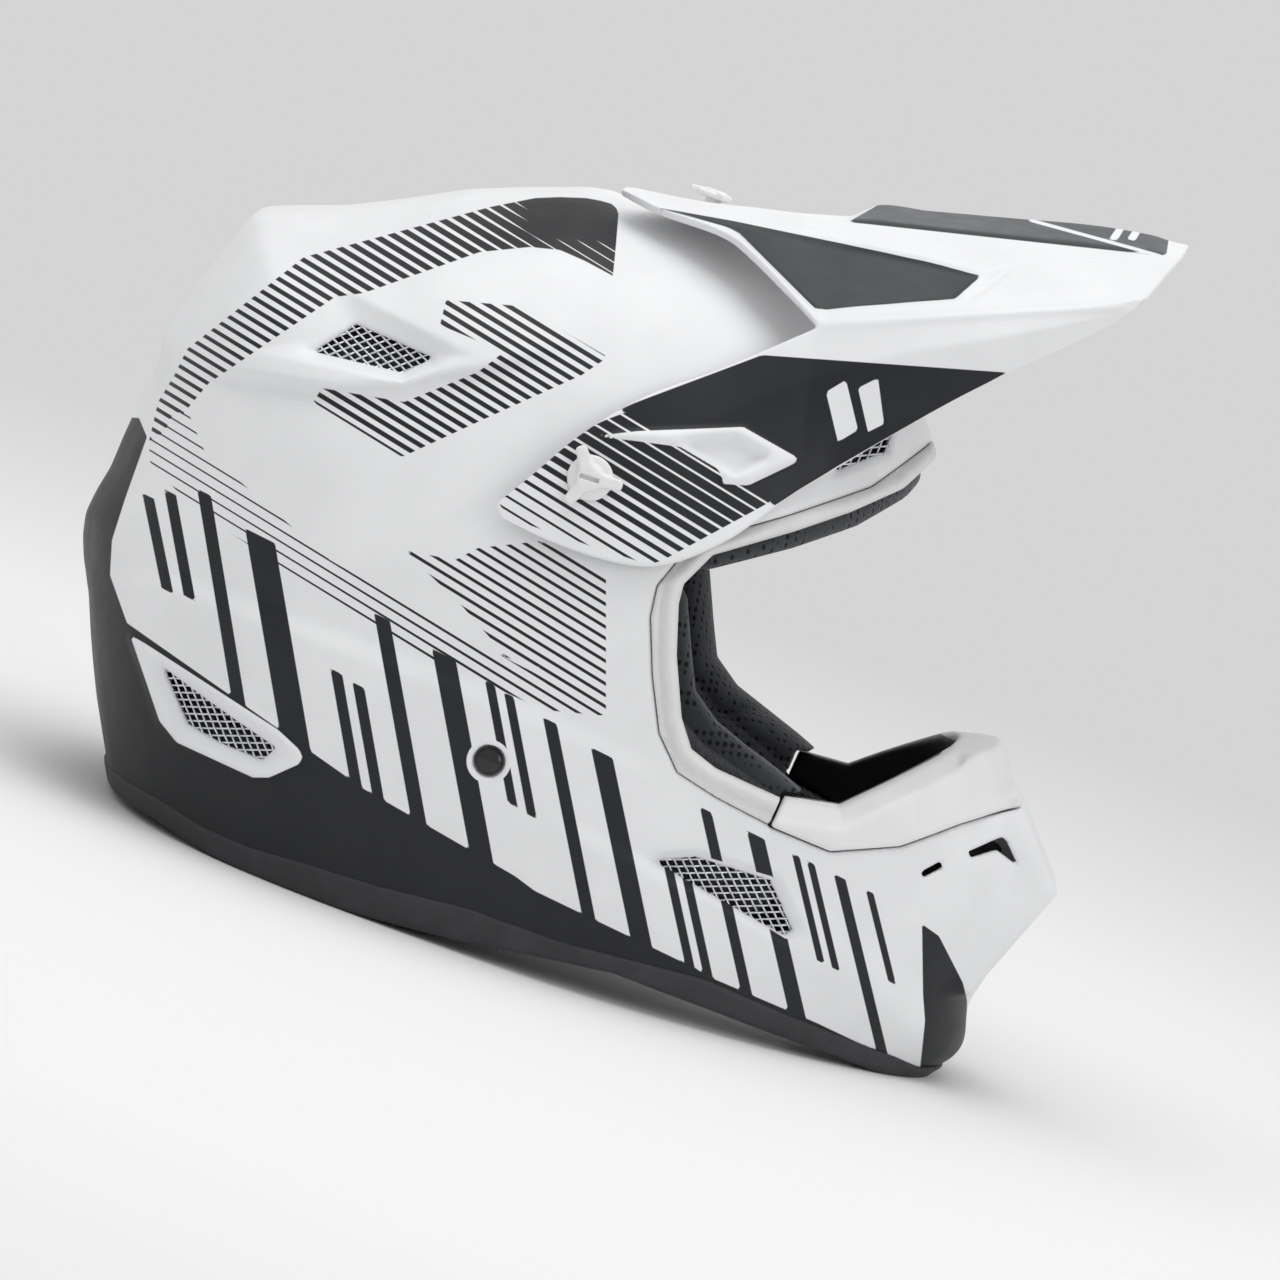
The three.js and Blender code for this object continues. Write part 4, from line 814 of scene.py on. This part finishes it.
rr = rad(P[:, 0], P[:, 2], RIV)
wh = np.where((rr < 14) & (np.abs(P[:, 1]) > 100), np.minimum(wh, rr - 7.6), wh)
for n_, v_ in (("ink", ink), ("wh", wh), ("sd", sd), ("su", su), ("sw", sw)):
    attr(shell_o, n_, v_)
dress(shell_o, "shell")
place(shell_o, "helmet", "shell_white", "shell")

trim_o, P = field_mesh("base_trim_skin", f_trim, (-160, -132, -3), (182, 132, 24), 1.2)
dress(trim_o, "trim")
place(trim_o, "helmet", "trim_rubber", "base_trim")

gask_o, P = field_mesh("gasket_skin", f_gasket, (10, -132, 66), (124, 132, 240), 1.1)
dress(gask_o, "gasket")
place(gask_o, "helmet", "gasket_rubber", "eyeport_gasket")

nose_o, P = field_mesh("nose_guard_skin", f_nose, (74, -124, 66), (178, 124, 134), 1.1)
attr(nose_o, "ink", np.maximum(skin(P[:, 0], P[:, 1], P[:, 2]) + 9.6, P[:, 2] - (116.8 - 0.06 * np.abs(P[:, 1]))))
dress(nose_o, "guard")
place(nose_o, "helmet", "guard_rubber", "nose_guard")


# ------------------------------------------------------------------ foam and padding
def soft_piece(name, f, lo, hi, h, key, slot, nodes, mirror=True):
    o, P = field_mesh(name, f, lo, hi, h, mirror)
    dress(o, key)
    place(o, "helmet", slot, *nodes)
    return o


def one_side(f, s):
    return lambda x, y, z: np.maximum(f(x, y, z), -s * y)


soft_piece("eps_crown_foam", f_crown, (-184, -120, 40), (130, 120, 262), 2.2, "foam", "impact_foam", ["eps_crown"])
soft_piece("eps_chin_foam", f_chinfoam, (100, -112, 8), (182, 112, 110), 1.8, "foam", "impact_foam", ["eps_chin"])
for s, side in ((-1, "right"), (1, "left")):
    ylo, yhi = (-122, -50) if s < 0 else (50, 122)
    soft_piece("cheek_foam_block_" + side, f_cheekfoam, (-60, ylo, 20), (98, yhi, 144), 2.0, "foam", "impact_foam", ["cheek_foam_" + side], False)
    soft_piece("cheek_cushion_" + side, f_cheek, (-60, ylo, 18), (108, yhi, 150), 1.5, "spacer", "liner_fabric", ["cheek_pad_" + side], False)
soft_piece("crown_liner_pad", f_liner, (-150, -112, 50), (104, 112, 232), 1.8, "spacer", "liner_fabric", ["comfort_liner"])
soft_piece("neck_cushion", f_neck, (-184, -122, 2), (-50, 122, 50), 1.6, "spacer", "liner_fabric", ["neck_roll"])


# ------------------------------------------------------------------ visor
VT = np.array([[[-41.5,-50,263.9],[-41.5,-49,265.8],[-39.3,-42,266.7],[-21.2,0,268.5]],[[-27.9,-58,261.9],[-27.5,-52,264.7],[-18.5,-43,269.6],[-2.9,0,271.1]],[[2.8,-70,260.9],[3.1,-56,268.5],[5.9,-42,274.9],[15,0,276.8]],[[40,-86,243],[38.3,-57,274.3],[36.6,-40,281],[35.8,0,283]],[[47.2,-86,246.3],[45.6,-57,275.8],[43.5,-40,282.7],[42.3,0,288.3]],[[66.1,-84,254.8],[67.7,-55,280.3],[64.9,-38,287.7],[62.5,0,293.6]],[[97.6,-79,268.9],[96.5,-52,286.9],[92.6,-36,294.2],[90.5,0,300.9]],[[123.2,-72,279.5],[121.6,-48,295.9],[120.3,-33,300.7],[121.9,0,309]],[[144.3,-60,290.5],[149.3,-42,302.6],[152.0,-30,308.7],[154.3,0,314.2]]], float)
VL = np.array([[[-41.1,-128.4,151.3],[-40.7,-128.7,149.3],[-38.5,-128.8,147.2]],[[-32.6,-125.9,165.4],[-27.8,-127.1,157.1],[-23.5,-128.1,145.3]],[[-23.2,-121.3,181.6],[-14.5,-123.6,169.6],[-5.5,-126.2,144.9]],[[-8.1,-112.6,200.4],[1,-117.1,185.8],[14.8,-122.4,148]],[[13.6,-98.1,218.8],[22.5,-103.7,205],[34.5,-113.7,162.5]],[[40,-86,243],[44.2,-93,224.5],[53.6,-98,188.6]],[[47.2,-86,246.3],[51.4,-92,230],[60,-93,195.8]],[[66.1,-84,254.8],[67.2,-89,241.8],[74,-89,212.8]],[[97.6,-79,268.9],[96,-84,258.2],[95.9,-83,238]],[[123.2,-72,279.5],[118.8,-76,271.3],[117.6,-75,259.5]],[[144.3,-60,290.5],[141.9,-62,285.3],[137.9,-63,279.5]]], float)
VT[:, :, 0] = VT[:, :, 0]


def hermite(rows, counts):
    """Smooth rows between the given ones; rows has the shape (rows, columns, 3)."""
    m = len(rows)
    L = np.maximum(np.linalg.norm(np.diff(rows, axis=0), axis=-1).mean(1), 1e-6)
    s = np.concatenate([[0], np.cumsum(L)])
    sl = np.diff(rows, axis=0) / L[:, None, None]
    tan = np.empty_like(rows)
    tan[0], tan[-1] = sl[0], sl[-1]
    for i in range(1, m - 1):
        tan[i] = (sl[i - 1] * L[i] + sl[i] * L[i - 1]) / (L[i] + L[i - 1])
    out = []
    for i in range(m - 1):
        for k in range(counts[i] + (1 if i == m - 2 else 0)):
            t = k / counts[i]
            h = L[i]
            out.append((1 + 2 * t) * (1 - t) ** 2 * rows[i] + t * (1 - t) ** 2 * h * tan[i] + t * t * (3 - 2 * t) * rows[i + 1] + t * t * (t - 1) * h * tan[i + 1])
    return np.array(out)


def across(rows, counts):
    """Straight steps between the columns of each row."""
    parts = []
    for j, n in enumerate(counts):
        a, b = rows[:, j], rows[:, j + 1]
        t = np.arange(n + (1 if j == len(counts) - 1 else 0)) / n
        parts.append(a[:, None] * (1 - t)[None, :, None] + b[:, None] * t[None, :, None])
    return np.concatenate(parts, 1)


def relax(g, n, cols=True):
    for _ in range(n):
        if cols:
            g[:, 1:-1] = (g[:, :-2] + 2 * g[:, 1:-1] + g[:, 2:]) / 4
        else:
            g[1:-1] = (g[:-2] + 2 * g[1:-1] + g[2:]) / 4
    return g


VS = 1.7
seg = lambda a: [max(3, int(round(x / VS))) for x in np.linalg.norm(np.diff(a, axis=0), axis=-1)[:, -1]]
n_shared = seg(VT[3:])
front = np.concatenate([VL[5:][:, ::-1], VT[3:][:, 1:]], 1)          # lower edge ... crease ... centre
front = hermite(front, n_shared)
N_LE, N_LC, N_C1, N_C2, N_C3 = 27, 14, 21, 9, 24
front = across(front, [N_LE, N_LC, N_C1, N_C2, N_C3])
# mirror to the full width before easing the creases
full = np.concatenate([front, front[:, ::-1][:, 1:] * np.array([1, -1, 1])], 1)
full = relax(full, 2)
NF = front.shape[1]
tail = across(hermite(VT[:4], seg(VT[:4])), [N_C1, N_C2, N_C3])
tail_full = relax(np.concatenate([tail, tail[:, ::-1][:, 1:] * np.array([1, -1, 1])], 1), 3)
c0 = N_LE + N_LC
tail_full[-1] = full[0, c0:c0 + tail_full.shape[1]]
for k in range(1, 6):      # the easing of the join between the two patches is multiplied by 0, so it changes nothing
    tail_full[-1 - k] += (full[0, c0:c0 + tail_full.shape[1]] - tail_full[-1]) * 0
wing = relax(across(hermite(VL[:6][:, ::-1], seg(VL[:6][:, ::-1])), [N_LE, N_LC]), 3)
wing[-1] = full[0, :c0 + 1]
wing = relax(wing, 2, False)
wing[-1] = full[0, :c0 + 1]


def grid_normals(g):
    du, dv = np.gradient(g, axis=0), np.gradient(g, axis=1)
    n = np.cross(du, dv)
    return n / np.maximum(np.linalg.norm(n, axis=-1, keepdims=True), 1e-9)


DUCT = [(601, 436), (640, 432), (743, 428), (796, 458), (795, 462), (748, 484.5), (724, 483), (722.6, 476), (718.6, 468), (681, 446), (635.6, 440)]
DUCTIN = [(678, 440), (732, 436), (767, 455), (765.5, 460), (735, 475), (720, 467), (694.5, 451)]
SIDEPAN = [(655, 207), (734, 221), (864, 248), (933, 263), (981, 276), (955, 299), (864, 306), (817, 310.5), (738, 232), (727, 227)]
TOPPAN = [(848, 222), (876, 206), (880, 180), (1210, 180), (1210, 261)]
DUCTSTEP = [(1000, 262), (1012, 268), (968, 300), (958, 298)]


def pline(u, v, pts):
    """Distance to an open line."""
    d2 = np.full(np.shape(u), 1e18)
    for a, b in zip(np.asarray(pts[:-1], float), np.asarray(pts[1:], float)):
        e = b - a
        t = np.clip(((u - a[0]) * e[0] + (v - a[1]) * e[1]) / (e @ e), 0, 1)
        d2 = np.minimum(d2, (u - a[0] - e[0] * t) ** 2 + (v - a[1] - e[1] * t) ** 2)
    return np.sqrt(d2)


def visor_relief(g, outward):
    u, v = drawn(g[..., 0], g[..., 1], g[..., 2])
    d = 1.9 * (1 - sst(-4, 3, psd(u, v, DUCT))) - 4.6 * (1 - sst(-6, 3, psd(u, v, DUCTIN)))
    ya = np.abs(g[..., 1])
    side = sst(34, 44, ya) * sst(236, 246, g[..., 2])
    d = d - 1.0 * (1 - sst(-3, 2, psd(u, v, SIDEPAN))) * side
    # thick rounded lip behind the side panel
    d = d + 1.4 * np.exp(-(pline(u, v, [(622, 193), (650, 207.5), (730.5, 236), (814, 318)]) / 5.5) ** 2) * side
    # soft crease above the panel, and the step at its front end
    d = d + 0.8 * np.exp(-(pline(u, v, [(800, 226), (989, 272), (1008, 266)]) / 4.0) ** 2) * side
    d = d - 1.3 * np.exp(-(pline(u, v, [(1006, 269), (971, 296)]) / 3.5) ** 2) * side
    # raised panel along the middle
    d = d + 1.0 * (1 - sst(-3, 3, psd(u, v, TOPPAN))) * sst(252, 262, g[..., 2]) * (1 - sst(140, 150, g[..., 0]))
    # crease along the side, below the panel
    d = d + 0.8 * np.exp(-(pline(u, v, [(817, 324), (1119, 307)]) / 4.5) ** 2) * side
    return d * outward


def with_relief(g, sign):
    n = grid_normals(g) * sign
    return g + n * visor_relief(g, 1.0)[..., None]


# the normal must point away from the shell: up on top, outwards at the sides
sg = 1.0 if grid_normals(full)[full.shape[0] // 2, full.shape[1] // 2, 2] > 0 else -1.0
full_r, tail_r = with_relief(full, sg), with_relief(tail_full, sg)
sw_ = 1.0 if grid_normals(wing)[20, 20, 1] < 0 else -1.0
wing_r = with_relief(wing, sw_)
tail_r[-1] = full_r[0, c0:c0 + tail_r.shape[1]]
wing_r[-1] = full_r[0, :c0 + 1]
wing_l = wing_r * np.array([1, -1, 1])
wing_l[-1] = full_r[0, ::-1][:c0 + 1]

pts, faces = [], []
base = 0


def add_grid(g, flip):
    global base
    a, b = g.shape[:2]
    idx = base + np.arange(a * b).reshape(a, b)
    pts.append(g.reshape(-1, 3))
    q = np.stack([idx[:-1, :-1], idx[1:, :-1], idx[1:, 1:], idx[:-1, 1:]], -1).reshape(-1, 4)
    faces.append(q[:, ::-1] if flip else q)
    base += a * b
    return idx


i_full = add_grid(full_r, sg < 0)
i_tail = add_grid(tail_r, sg < 0)
i_wr = add_grid(wing_r, sw_ < 0)
i_wl = add_grid(wing_l, sw_ > 0)
remap = np.arange(base)
remap[i_tail[-1]] = i_full[0, c0:c0 + tail_r.shape[1]]
remap[i_wr[-1]] = i_full[0, :c0 + 1]
remap[i_wl[-1]] = i_full[0, ::-1][:c0 + 1]
VP = np.concatenate(pts)
VF = remap[np.concatenate(faces)]
used, inv = np.unique(VF, return_inverse=True)
VP, VF = VP[used], inv.reshape(-1, 4)
# openings for the screws: the tail's slot and the side holes are covered by the screws' heads
visor_o = quad_object("visor_peak", VP, VF)
u, v = drawn(VP[:, 0], VP[:, 1], VP[:, 2])
ay = np.abs(VP[:, 1])
low_face = [(560, 431), (612, 411), (762, 355), (1007, 372.5), (929, 414), (838, 466), (768, 510), (665, 566), (649, 571), (590, 552), (504, 523), (493, 505), (497, 492)]
solid = [(618, 409), (762, 355), (1007, 372.5), (929, 414), (838, 466), (774, 506), (758, 488), (748, 480), (700, 452)]
ink = psd(u, v, solid)
emb = np.minimum(psd(u, v, [(826, 392), (846, 380), (858, 430), (838, 442)]), psd(u, v, [(858, 388), (878, 378), (884, 424), (868, 432)]))
wh = np.minimum.reduce([psd(u, v, DUCT) - 1.0, emb])
sd = psd(u, v, low_face) + 6
su = stripe_u(u, v, 11.3, 5.5)
t_ = ((u - 520) * S32 - (v - 520) * C32)
sw = 0.20 + 0.62 * sst(0, 120, t_)
pan_side = np.where((VP[:, 2] > 246) & (ay > 40), psd(u, v, SIDEPAN), 90.0)
yy = ay
top_pan = np.where(VP[:, 2] > 256, psd(u, v, TOPPAN), 90.0)
top_pan = np.maximum(top_pan, (VP[:, 0] - 146.5) * PX)
# a fine white line and two white bars near the tip
top_pan = np.maximum(top_pan, 1.6 - pline(u, v, [(1030, 220), (1161, 256)]))
for a_ in (1118, 1136):
    top_pan = np.maximum(top_pan, -psd(u, v, [(a_, 226), (a_ + 8, 226), (a_ - 1, 241), (a_ - 9, 239)]))
pn = np.minimum(pan_side, top_pan)
for n_, v_ in (("ink", ink / PX), ("wh", wh / PX), ("sd", sd / PX), ("su", su), ("sw", sw), ("pn", pn / PX)):
    attr(visor_o, n_, v_)
dress(visor_o, "visor", "plain")
so = visor_o.modifiers.new("thickness", "SOLIDIFY")
so.thickness = 0.0027
so.offset = -1
so.use_even_offset = False
so.material_offset = 1
so.material_offset_rim = 0
su_ = visor_o.modifiers.new("rounded", "SUBSURF")
su_.levels = su_.render_levels = 1
place(visor_o, "visor_body", "visor_white", "visor")


# ------------------------------------------------------------------ screws, rivets and small parts
def knob_field(x, y, z, side):
    h = side * y
    dx, dz = x - PIV[0], z - PIV[1]
    r = np.hypot(dx, dz)
    f = smax(r - 7.9, np.maximum(125.1 - h, h - 127.5 + 0.018 * r * r), 0.9)
    hub = smax(r - 4.6, np.maximum(125.1 - h, h - 129.5), 1.4)
    f = smin(f, hub, 1.0)
    for k in range(3):
        a = math.radians(125.6 + 120 * k)
        al, ac = dx * math.cos(a) + dz * math.sin(a), -dx * math.sin(a) + dz * math.cos(a)
        wing_ = smax(smax(np.abs(al - 6.0) - 5.4, np.abs(ac) - 2.5 + 0.05 * al, 1.6), np.maximum(125.3 - h, h - 129.7 + 0.10 * np.maximum(al - 4, 0)), 1.0)
        f = smin(f, wing_, 1.0)
    a = math.radians(1.5)
    al, ac = dx * math.cos(a) + dz * math.sin(a), -dx * math.sin(a) + dz * math.cos(a)
    f = smax(f, -np.maximum(np.maximum(np.abs(al) - 3.4, np.abs(ac) - 0.75), 127.9 - h), 0.25)
    shank = np.maximum(r - 2.9, np.maximum(108.6 - h, h - 126))
    return np.minimum(f, shank)


def top_knob(x, y, z):
    dx = x - TSX
    r = np.hypot(dx, y)
    f = smax(r - 6.4, np.maximum(272.5 - z, z - 274.5), 0.8)
    f = smin(f, smax(r - 4.2, np.maximum(272.5 - z, z - 275.7), 1.2), 0.8)
    for k in range(3):
        a = math.radians(60 + 120 * k)
        al, ac = dx * math.cos(a) + y * math.sin(a), -dx * math.sin(a) + y * math.cos(a)
        w = smax(smax(np.abs(al - 5.0) - 4.3, np.abs(ac) - 2.1, 1.2), np.maximum(272.6 - z, z - 275.3 + 0.08 * np.maximum(al - 4, 0)), 0.8)
        f = smin(f, w, 0.8)
    f = smax(f, -np.maximum(np.maximum(np.abs(dx) - 3.0, np.abs(y) - 0.5), 274.7 - z), 0.25)
    return np.minimum(f, np.maximum(r - 2.9, np.maximum(254.1 - z, z - 274)))


for s, side in ((-1, "right"), (1, "left")):
    ylo, yhi = (-131, -107) if s < 0 else (107, 131)
    o, _p = field_mesh("thumb_screw_" + side, lambda x, y, z, s=s: knob_field(x, y, z, s), (-27, ylo, 156), (-2, yhi, 183), 0.5, False)
    dress(o, "plain")
    place(o, "screw_" + side, "screw_plastic", "visor_screw_" + side)
o, _p = field_mesh("thumb_screw_top", top_knob, (-24, -11, 252), (-1, 11, 278), 0.45, False)
dress(o, "plain")
place(o, "screw_top", "screw_plastic", "visor_screw_top")


def lathe(name, prof, centre, axis, n=64):
    """Turned part: profile of (radius, height) about an axis through a point, in drawing mm."""
    prof = np.asarray(prof, float)
    ax = np.asarray(axis, float)
    e1 = np.cross(ax, (0.3, 0.5, 0.8))
    e1 /= np.linalg.norm(e1)
    e2 = np.cross(ax, e1)
    ang = np.arange(n) * 2 * math.pi / n
    ring = np.cos(ang)[:, None] * e1 + np.sin(ang)[:, None] * e2
    P = np.concatenate([np.asarray(centre, float) + r * ring + h * ax for r, h in prof])
    F = []
    m = len(prof)
    for i in range(m - 1):
        for k in range(n):
            k2 = (k + 1) % n
            F.append((i * n + k, i * n + k2, (i + 1) * n + k2, (i + 1) * n + k))
    o = quad_object(name, P, F)
    import bmesh
    bm = bmesh.new()
    bm.from_mesh(o.data)
    bmesh.ops.remove_doubles(bm, verts=bm.verts, dist=1e-7)
    bmesh.ops.recalc_face_normals(bm, faces=bm.faces)
    bm.to_mesh(o.data)
    bm.free()
    for p_ in o.data.polygons:
        p_.use_smooth = True
    return o


def fillet(profile, n=4, r=0.35):
    """Rounds the inner corners of a profile."""
    p = [np.array(q, float) for q in profile]
    out = [p[0]]
    for i in range(1, len(p) - 1):
        a, b, c = p[i - 1], p[i], p[i + 1]
        la, lc = np.linalg.norm(a - b), np.linalg.norm(c - b)
        rr_ = min(r, la * 0.45, lc * 0.45)
        s, e = b + (a - b) / la * rr_, b + (c - b) / lc * rr_
        for k in range(n + 1):
            t = k / n
            out.append((1 - t) ** 2 * s + 2 * t * (1 - t) * b + t * t * e)
    out.append(p[-1])
    return out


dome = [(0, 110.7), (5.1, 110.7), (5.1, 111.7), (3.0, 111.7), (3.0, 120.7), (4.8, 120.7), (4.85, 121.3)] + [(4.85 * math.cos(a), 121.3 + 2.3 * math.sin(a)) for a in np.radians(np.arange(8, 91, 8.2))]
dome[-1] = (0, 123.6)
for s, side in ((-1, "right"), (1, "left")):
    o = lathe("rivet_" + side, fillet(dome, 3, 0.3), (RIV[0], 0, RIV[1]), (0, s, 0))
    dress(o, "gloss")
    place(o, "helmet", "rivet_black", "strap_rivet_" + side)


def tube_mesh(name, paths, radius, sides=6):
    P, F = [], []
    base = 0
    for path in paths:
        p = np.asarray(path, float)
        if len(p) < 2:
            continue
        t = np.gradient(p, axis=0)
        t /= np.maximum(np.linalg.norm(t, axis=1, keepdims=True), 1e-9)
        up = np.array([0, 1.0, 0])
        n1 = np.cross(t, up)
        n1 /= np.maximum(np.linalg.norm(n1, axis=1, keepdims=True), 1e-9)
        n2 = np.cross(t, n1)
        for k in range(sides):
            a = 2 * math.pi * k / sides
            P.append(p + radius * (math.cos(a) * n1 + math.sin(a) * n2))
        m = len(p)
        for k in range(sides):
            k2 = (k + 1) % sides
            i = np.arange(m - 1)
            F.append(np.stack([base + k * m + i, base + k * m + i + 1, base + k2 * m + i + 1, base + k2 * m + i], -1))
        cap0 = [base + k * m for k in range(sides)]
        cap1 = [base + k * m + m - 1 for k in range(sides)]
        if sides == 6:
            F.append(np.array([[cap0[0], cap0[1], cap0[2], cap0[3]], [cap0[0], cap0[3], cap0[4], cap0[5]]]))
            F.append(np.array([[cap1[3], cap1[2], cap1[1], cap1[0]], [cap1[5], cap1[4], cap1[3], cap1[0]]]))
        base += m * sides
    return quad_object(name, np.concatenate(P), np.concatenate(F))


def lattice(kind, side):
    """Woven wires across a vent, a little under the shell's surface."""
    poly = np.array(VENTS[kind], float)
    c = poly.mean(0)
    q = poly - c
    _w, vec = np.linalg.eigh(q.T @ q)
    e1 = vec[:, 1] if vec[0, 1] > 0 else -vec[:, 1]
    e2 = np.array([-e1[1], e1[0]])
    slant = {"upper": 0.56, "rear": 0.60, "chin": 0.56, "brow": 0.56}[kind]
    pitch = 2.45
    paths = []
    R = 40
    for fam in (1, -1):
        d = e1 * math.cos(slant) + e2 * fam * math.sin(slant)
        nrm = np.array([-d[1], d[0]])
        for k in range(-16, 17):
            s = np.arange(-R, R, 0.6)
            line_ = c + nrm * k * pitch + s[:, None] * d
            inside = psd(line_[:, 0], line_[:, 1], poly) < 1.7
            idx = np.where(inside)[0]
            if len(idx) < 5:
                continue
            for run in np.split(idx, np.where(np.diff(idx) > 1)[0] + 1):
                if len(run) < 5:
                    continue
                L = line_[run]
                cross = L @ nrm * 0
                other = L @ (np.array([-(e1 * math.cos(slant) - e2 * fam * math.sin(slant))[1], (e1 * math.cos(slant) - e2 * fam * math.sin(slant))[0]])) - c @ (np.array([-(e1 * math.cos(slant) - e2 * fam * math.sin(slant))[1], (e1 * math.cos(slant) - e2 * fam * math.sin(slant))[0]]))
                wave = 0.30 * np.cos(math.pi * (other / pitch + k)) * fam
                t_, w_ = samp(("T", "W"), L[:, 0], L[:, 1])
                ys = w_ * np.maximum(1 - np.minimum(t_, 1) ** P_EXP, 0) ** (1 / P_EXP)
                (D_,) = samp(("D",), L[:, 0], L[:, 1])
                depth = ys + D_ - 1.6 + wave
                paths.append(np.stack([L[:, 0], (-1 if side == "right" else 1) * depth, L[:, 1]], -1))
    o = tube_mesh(kind + "_vent_mesh_" + side, paths, 0.40)
    dress(o, "wire")
    return place(o, "helmet", "vent_mesh", f"{kind}_vent_grille_{side}")


for kind in VENTS:
    for side in ("right", "left"):
        lattice(kind, side)


def f_louvre(x, y, z):
    dx, dz = x - 177.2, z - 58.2
    al, ou = dx * MB[0] + dz * MB[1], dx * MA[0] + dz * MA[1]
    frame_ = smax(smax(np.abs(al) - 15.0, np.abs(y) - 20.4, 3.0), np.abs(ou + 6.6) - 2.2, 0.8)
    hole = smax(np.abs(al) - 13.0, np.abs(y) - 18.4, 3.0)
    body = smax(frame_, -hole, 0.8)
    k = np.mod(al + 1.6 * (ou + 6.6) * 0.35 + 2.6, 5.2) - 2.6
    slat = smax(smax(np.abs(k) - 0.9, np.abs(ou + 6.6) - 1.9, 0.7), frame_, 0.5)
    rib = smax(np.abs(np.abs(y) - 6.5) - 0.8, np.maximum(np.abs(ou + 7.0) - 1.2, frame_), 0.5)
    return smin(smin(body, slat, 0.6), rib, 0.5)


o, _p = field_mesh("mouth_louvre", f_louvre, (158, -22, 38), (190, 22, 78), 0.7)
dress(o, "black")
place(o, "helmet", "vent_plastic", "mouth_vent_grille")

# ------------------------------------------------------------------ carried-over pieces get their finish and softened edges
for n_, key, w_ in (("chin_strap_short", "web", 0.35), ("chin_strap_long", "web", 0.35), ("d_ring_inner", "steel", 0.8), ("d_ring_outer", "steel", 0.8),
                    ("strap_hanger_right", "steel", 0.4), ("strap_hanger_left", "steel", 0.4), ("strap_snap", "black", 0.6),
                    ("visor_washer_right", "trim", 0.25), ("visor_washer_left", "trim", 0.25),
                    ("visor_insert_right", "nickel", 0.2), ("visor_insert_left", "nickel", 0.2), ("visor_insert_top", "nickel", 0.2)):
    o = NODES[n_]
    o.data.materials.clear()
    o.data.materials.append(MATS[key])
    b = o.modifiers.new("soft_edges", "BEVEL")
    b.width = w_ / 1000
    b.segments = 3
    b.limit_method = "ANGLE"
    b.angle_limit = math.radians(35)
    b.harden_normals = True

# ------------------------------------------------------------------ camera, floor and lights
ct, st = math.cos(TILT), math.sin(TILT)


def turned(d):
    return Vector((d[0] * ct - d[2] * st, d[1], d[0] * st + d[2] * ct))


cam = bpy.data.cameras.new("camera")
cam.lens, cam.sensor_width = 36 * FPX / 1280, 36
cam.clip_start, cam.clip_end = 0.05, 60
cam_o = bpy.data.objects.new("camera", cam)
R_, U_, B_ = turned(_r), turned(_u), turned(-_f)
loc = (turned(_cam) + Vector((15.8 + SHIFT, 0, 112.8))) / 1000
cam_o.matrix_world = Matrix(((R_.x, U_.x, B_.x, loc.x), (R_.y, U_.y, B_.y, loc.y), (R_.z, U_.z, B_.z, loc.z), (0, 0, 0, 1)))
scene.collection.objects.link(cam_o)
scene.camera = cam_o

n = 96
rings = [0.0, 0.3, 0.8, 1.4, 2.2, 3.2, 5.0]
fp = [(0.0, 0.0, -0.2)] + [(r * 1000 * math.cos(2 * math.pi * k / n), r * 1000 * math.sin(2 * math.pi * k / n), -0.2) for r in rings[1:] for k in range(n)]
me = bpy.data.meshes.new("floor")
me.from_pydata([((x + SHIFT) / 1000, y / 1000, z / 1000) for x, y, z in fp], [], [(0, 1 + k, 1 + (k + 1) % n) for k in range(n)] + [(1 + i * n + k, 1 + (i + 1) * n + k, 1 + (i + 1) * n + (k + 1) % n, 1 + i * n + (k + 1) % n) for i in range(len(rings) - 2) for k in range(n)])
floor = bpy.data.objects.new("floor", me)
scene.collection.objects.link(floor)
fm = Mat("floor_paper", (0.86, 0.86, 0.86), 0.9, 0.0, 0.1)
length = fm.t.nodes.new("ShaderNodeVectorMath")
length.operation = "LENGTH"
fm.t.links.new(fm.coord(), length.inputs[0])
clear_ = fm.t.nodes.new("ShaderNodeBsdfTransparent")
mixs = fm.t.nodes.new("ShaderNodeMixShader")
fm.put(mixs.inputs[0], fm.ramp(length.outputs["Value"], 0.55, 1.9))
fm.t.links.new(fm.b.outputs[0], mixs.inputs[1])
fm.t.links.new(clear_.outputs[0], mixs.inputs[2])
fm.t.links.new(mixs.outputs[0], fm.t.nodes["Material Output"].inputs[0])
floor.data.materials.append(fm.m)


def area(name, loc_, target, size, power, size_y=None):
    l = bpy.data.lights.new(name, "AREA")
    l.energy = power
    l.shape = "RECTANGLE"
    l.size, l.size_y = size, size_y or size
    o = bpy.data.objects.new(name, l)
    o.location = loc_
    o.rotation_euler = (Vector(target) - Vector(loc_)).to_track_quat("-Z", "Y").to_euler()
    scene.collection.objects.link(o)


area("softbox_top", (-0.15, -0.25, 1.7), (0, 0, 0.15), 1.5, 12.5, 1.2)
area("softbox_front", (1.5, -1.1, 0.9), (0, 0, 0.15), 0.9, 5.0)
area("softbox_rear", (-1.4, -0.4, 1.1), (0, 0, 0.15), 0.8, 0.5)
area("softbox_side", (0.2, 1.7, 1.0), (0, 0, 0.15), 1.0, 1.6)

world = bpy.data.worlds.new("studio")
world.use_nodes = True
bg = world.node_tree.nodes["Background"]
bg.inputs["Color"].default_value = (1, 1, 1, 1)
bg.inputs["Strength"].default_value = 0.66
scene.world = world
scene.view_settings.view_transform = "Standard"
scene.view_settings.look = "None"
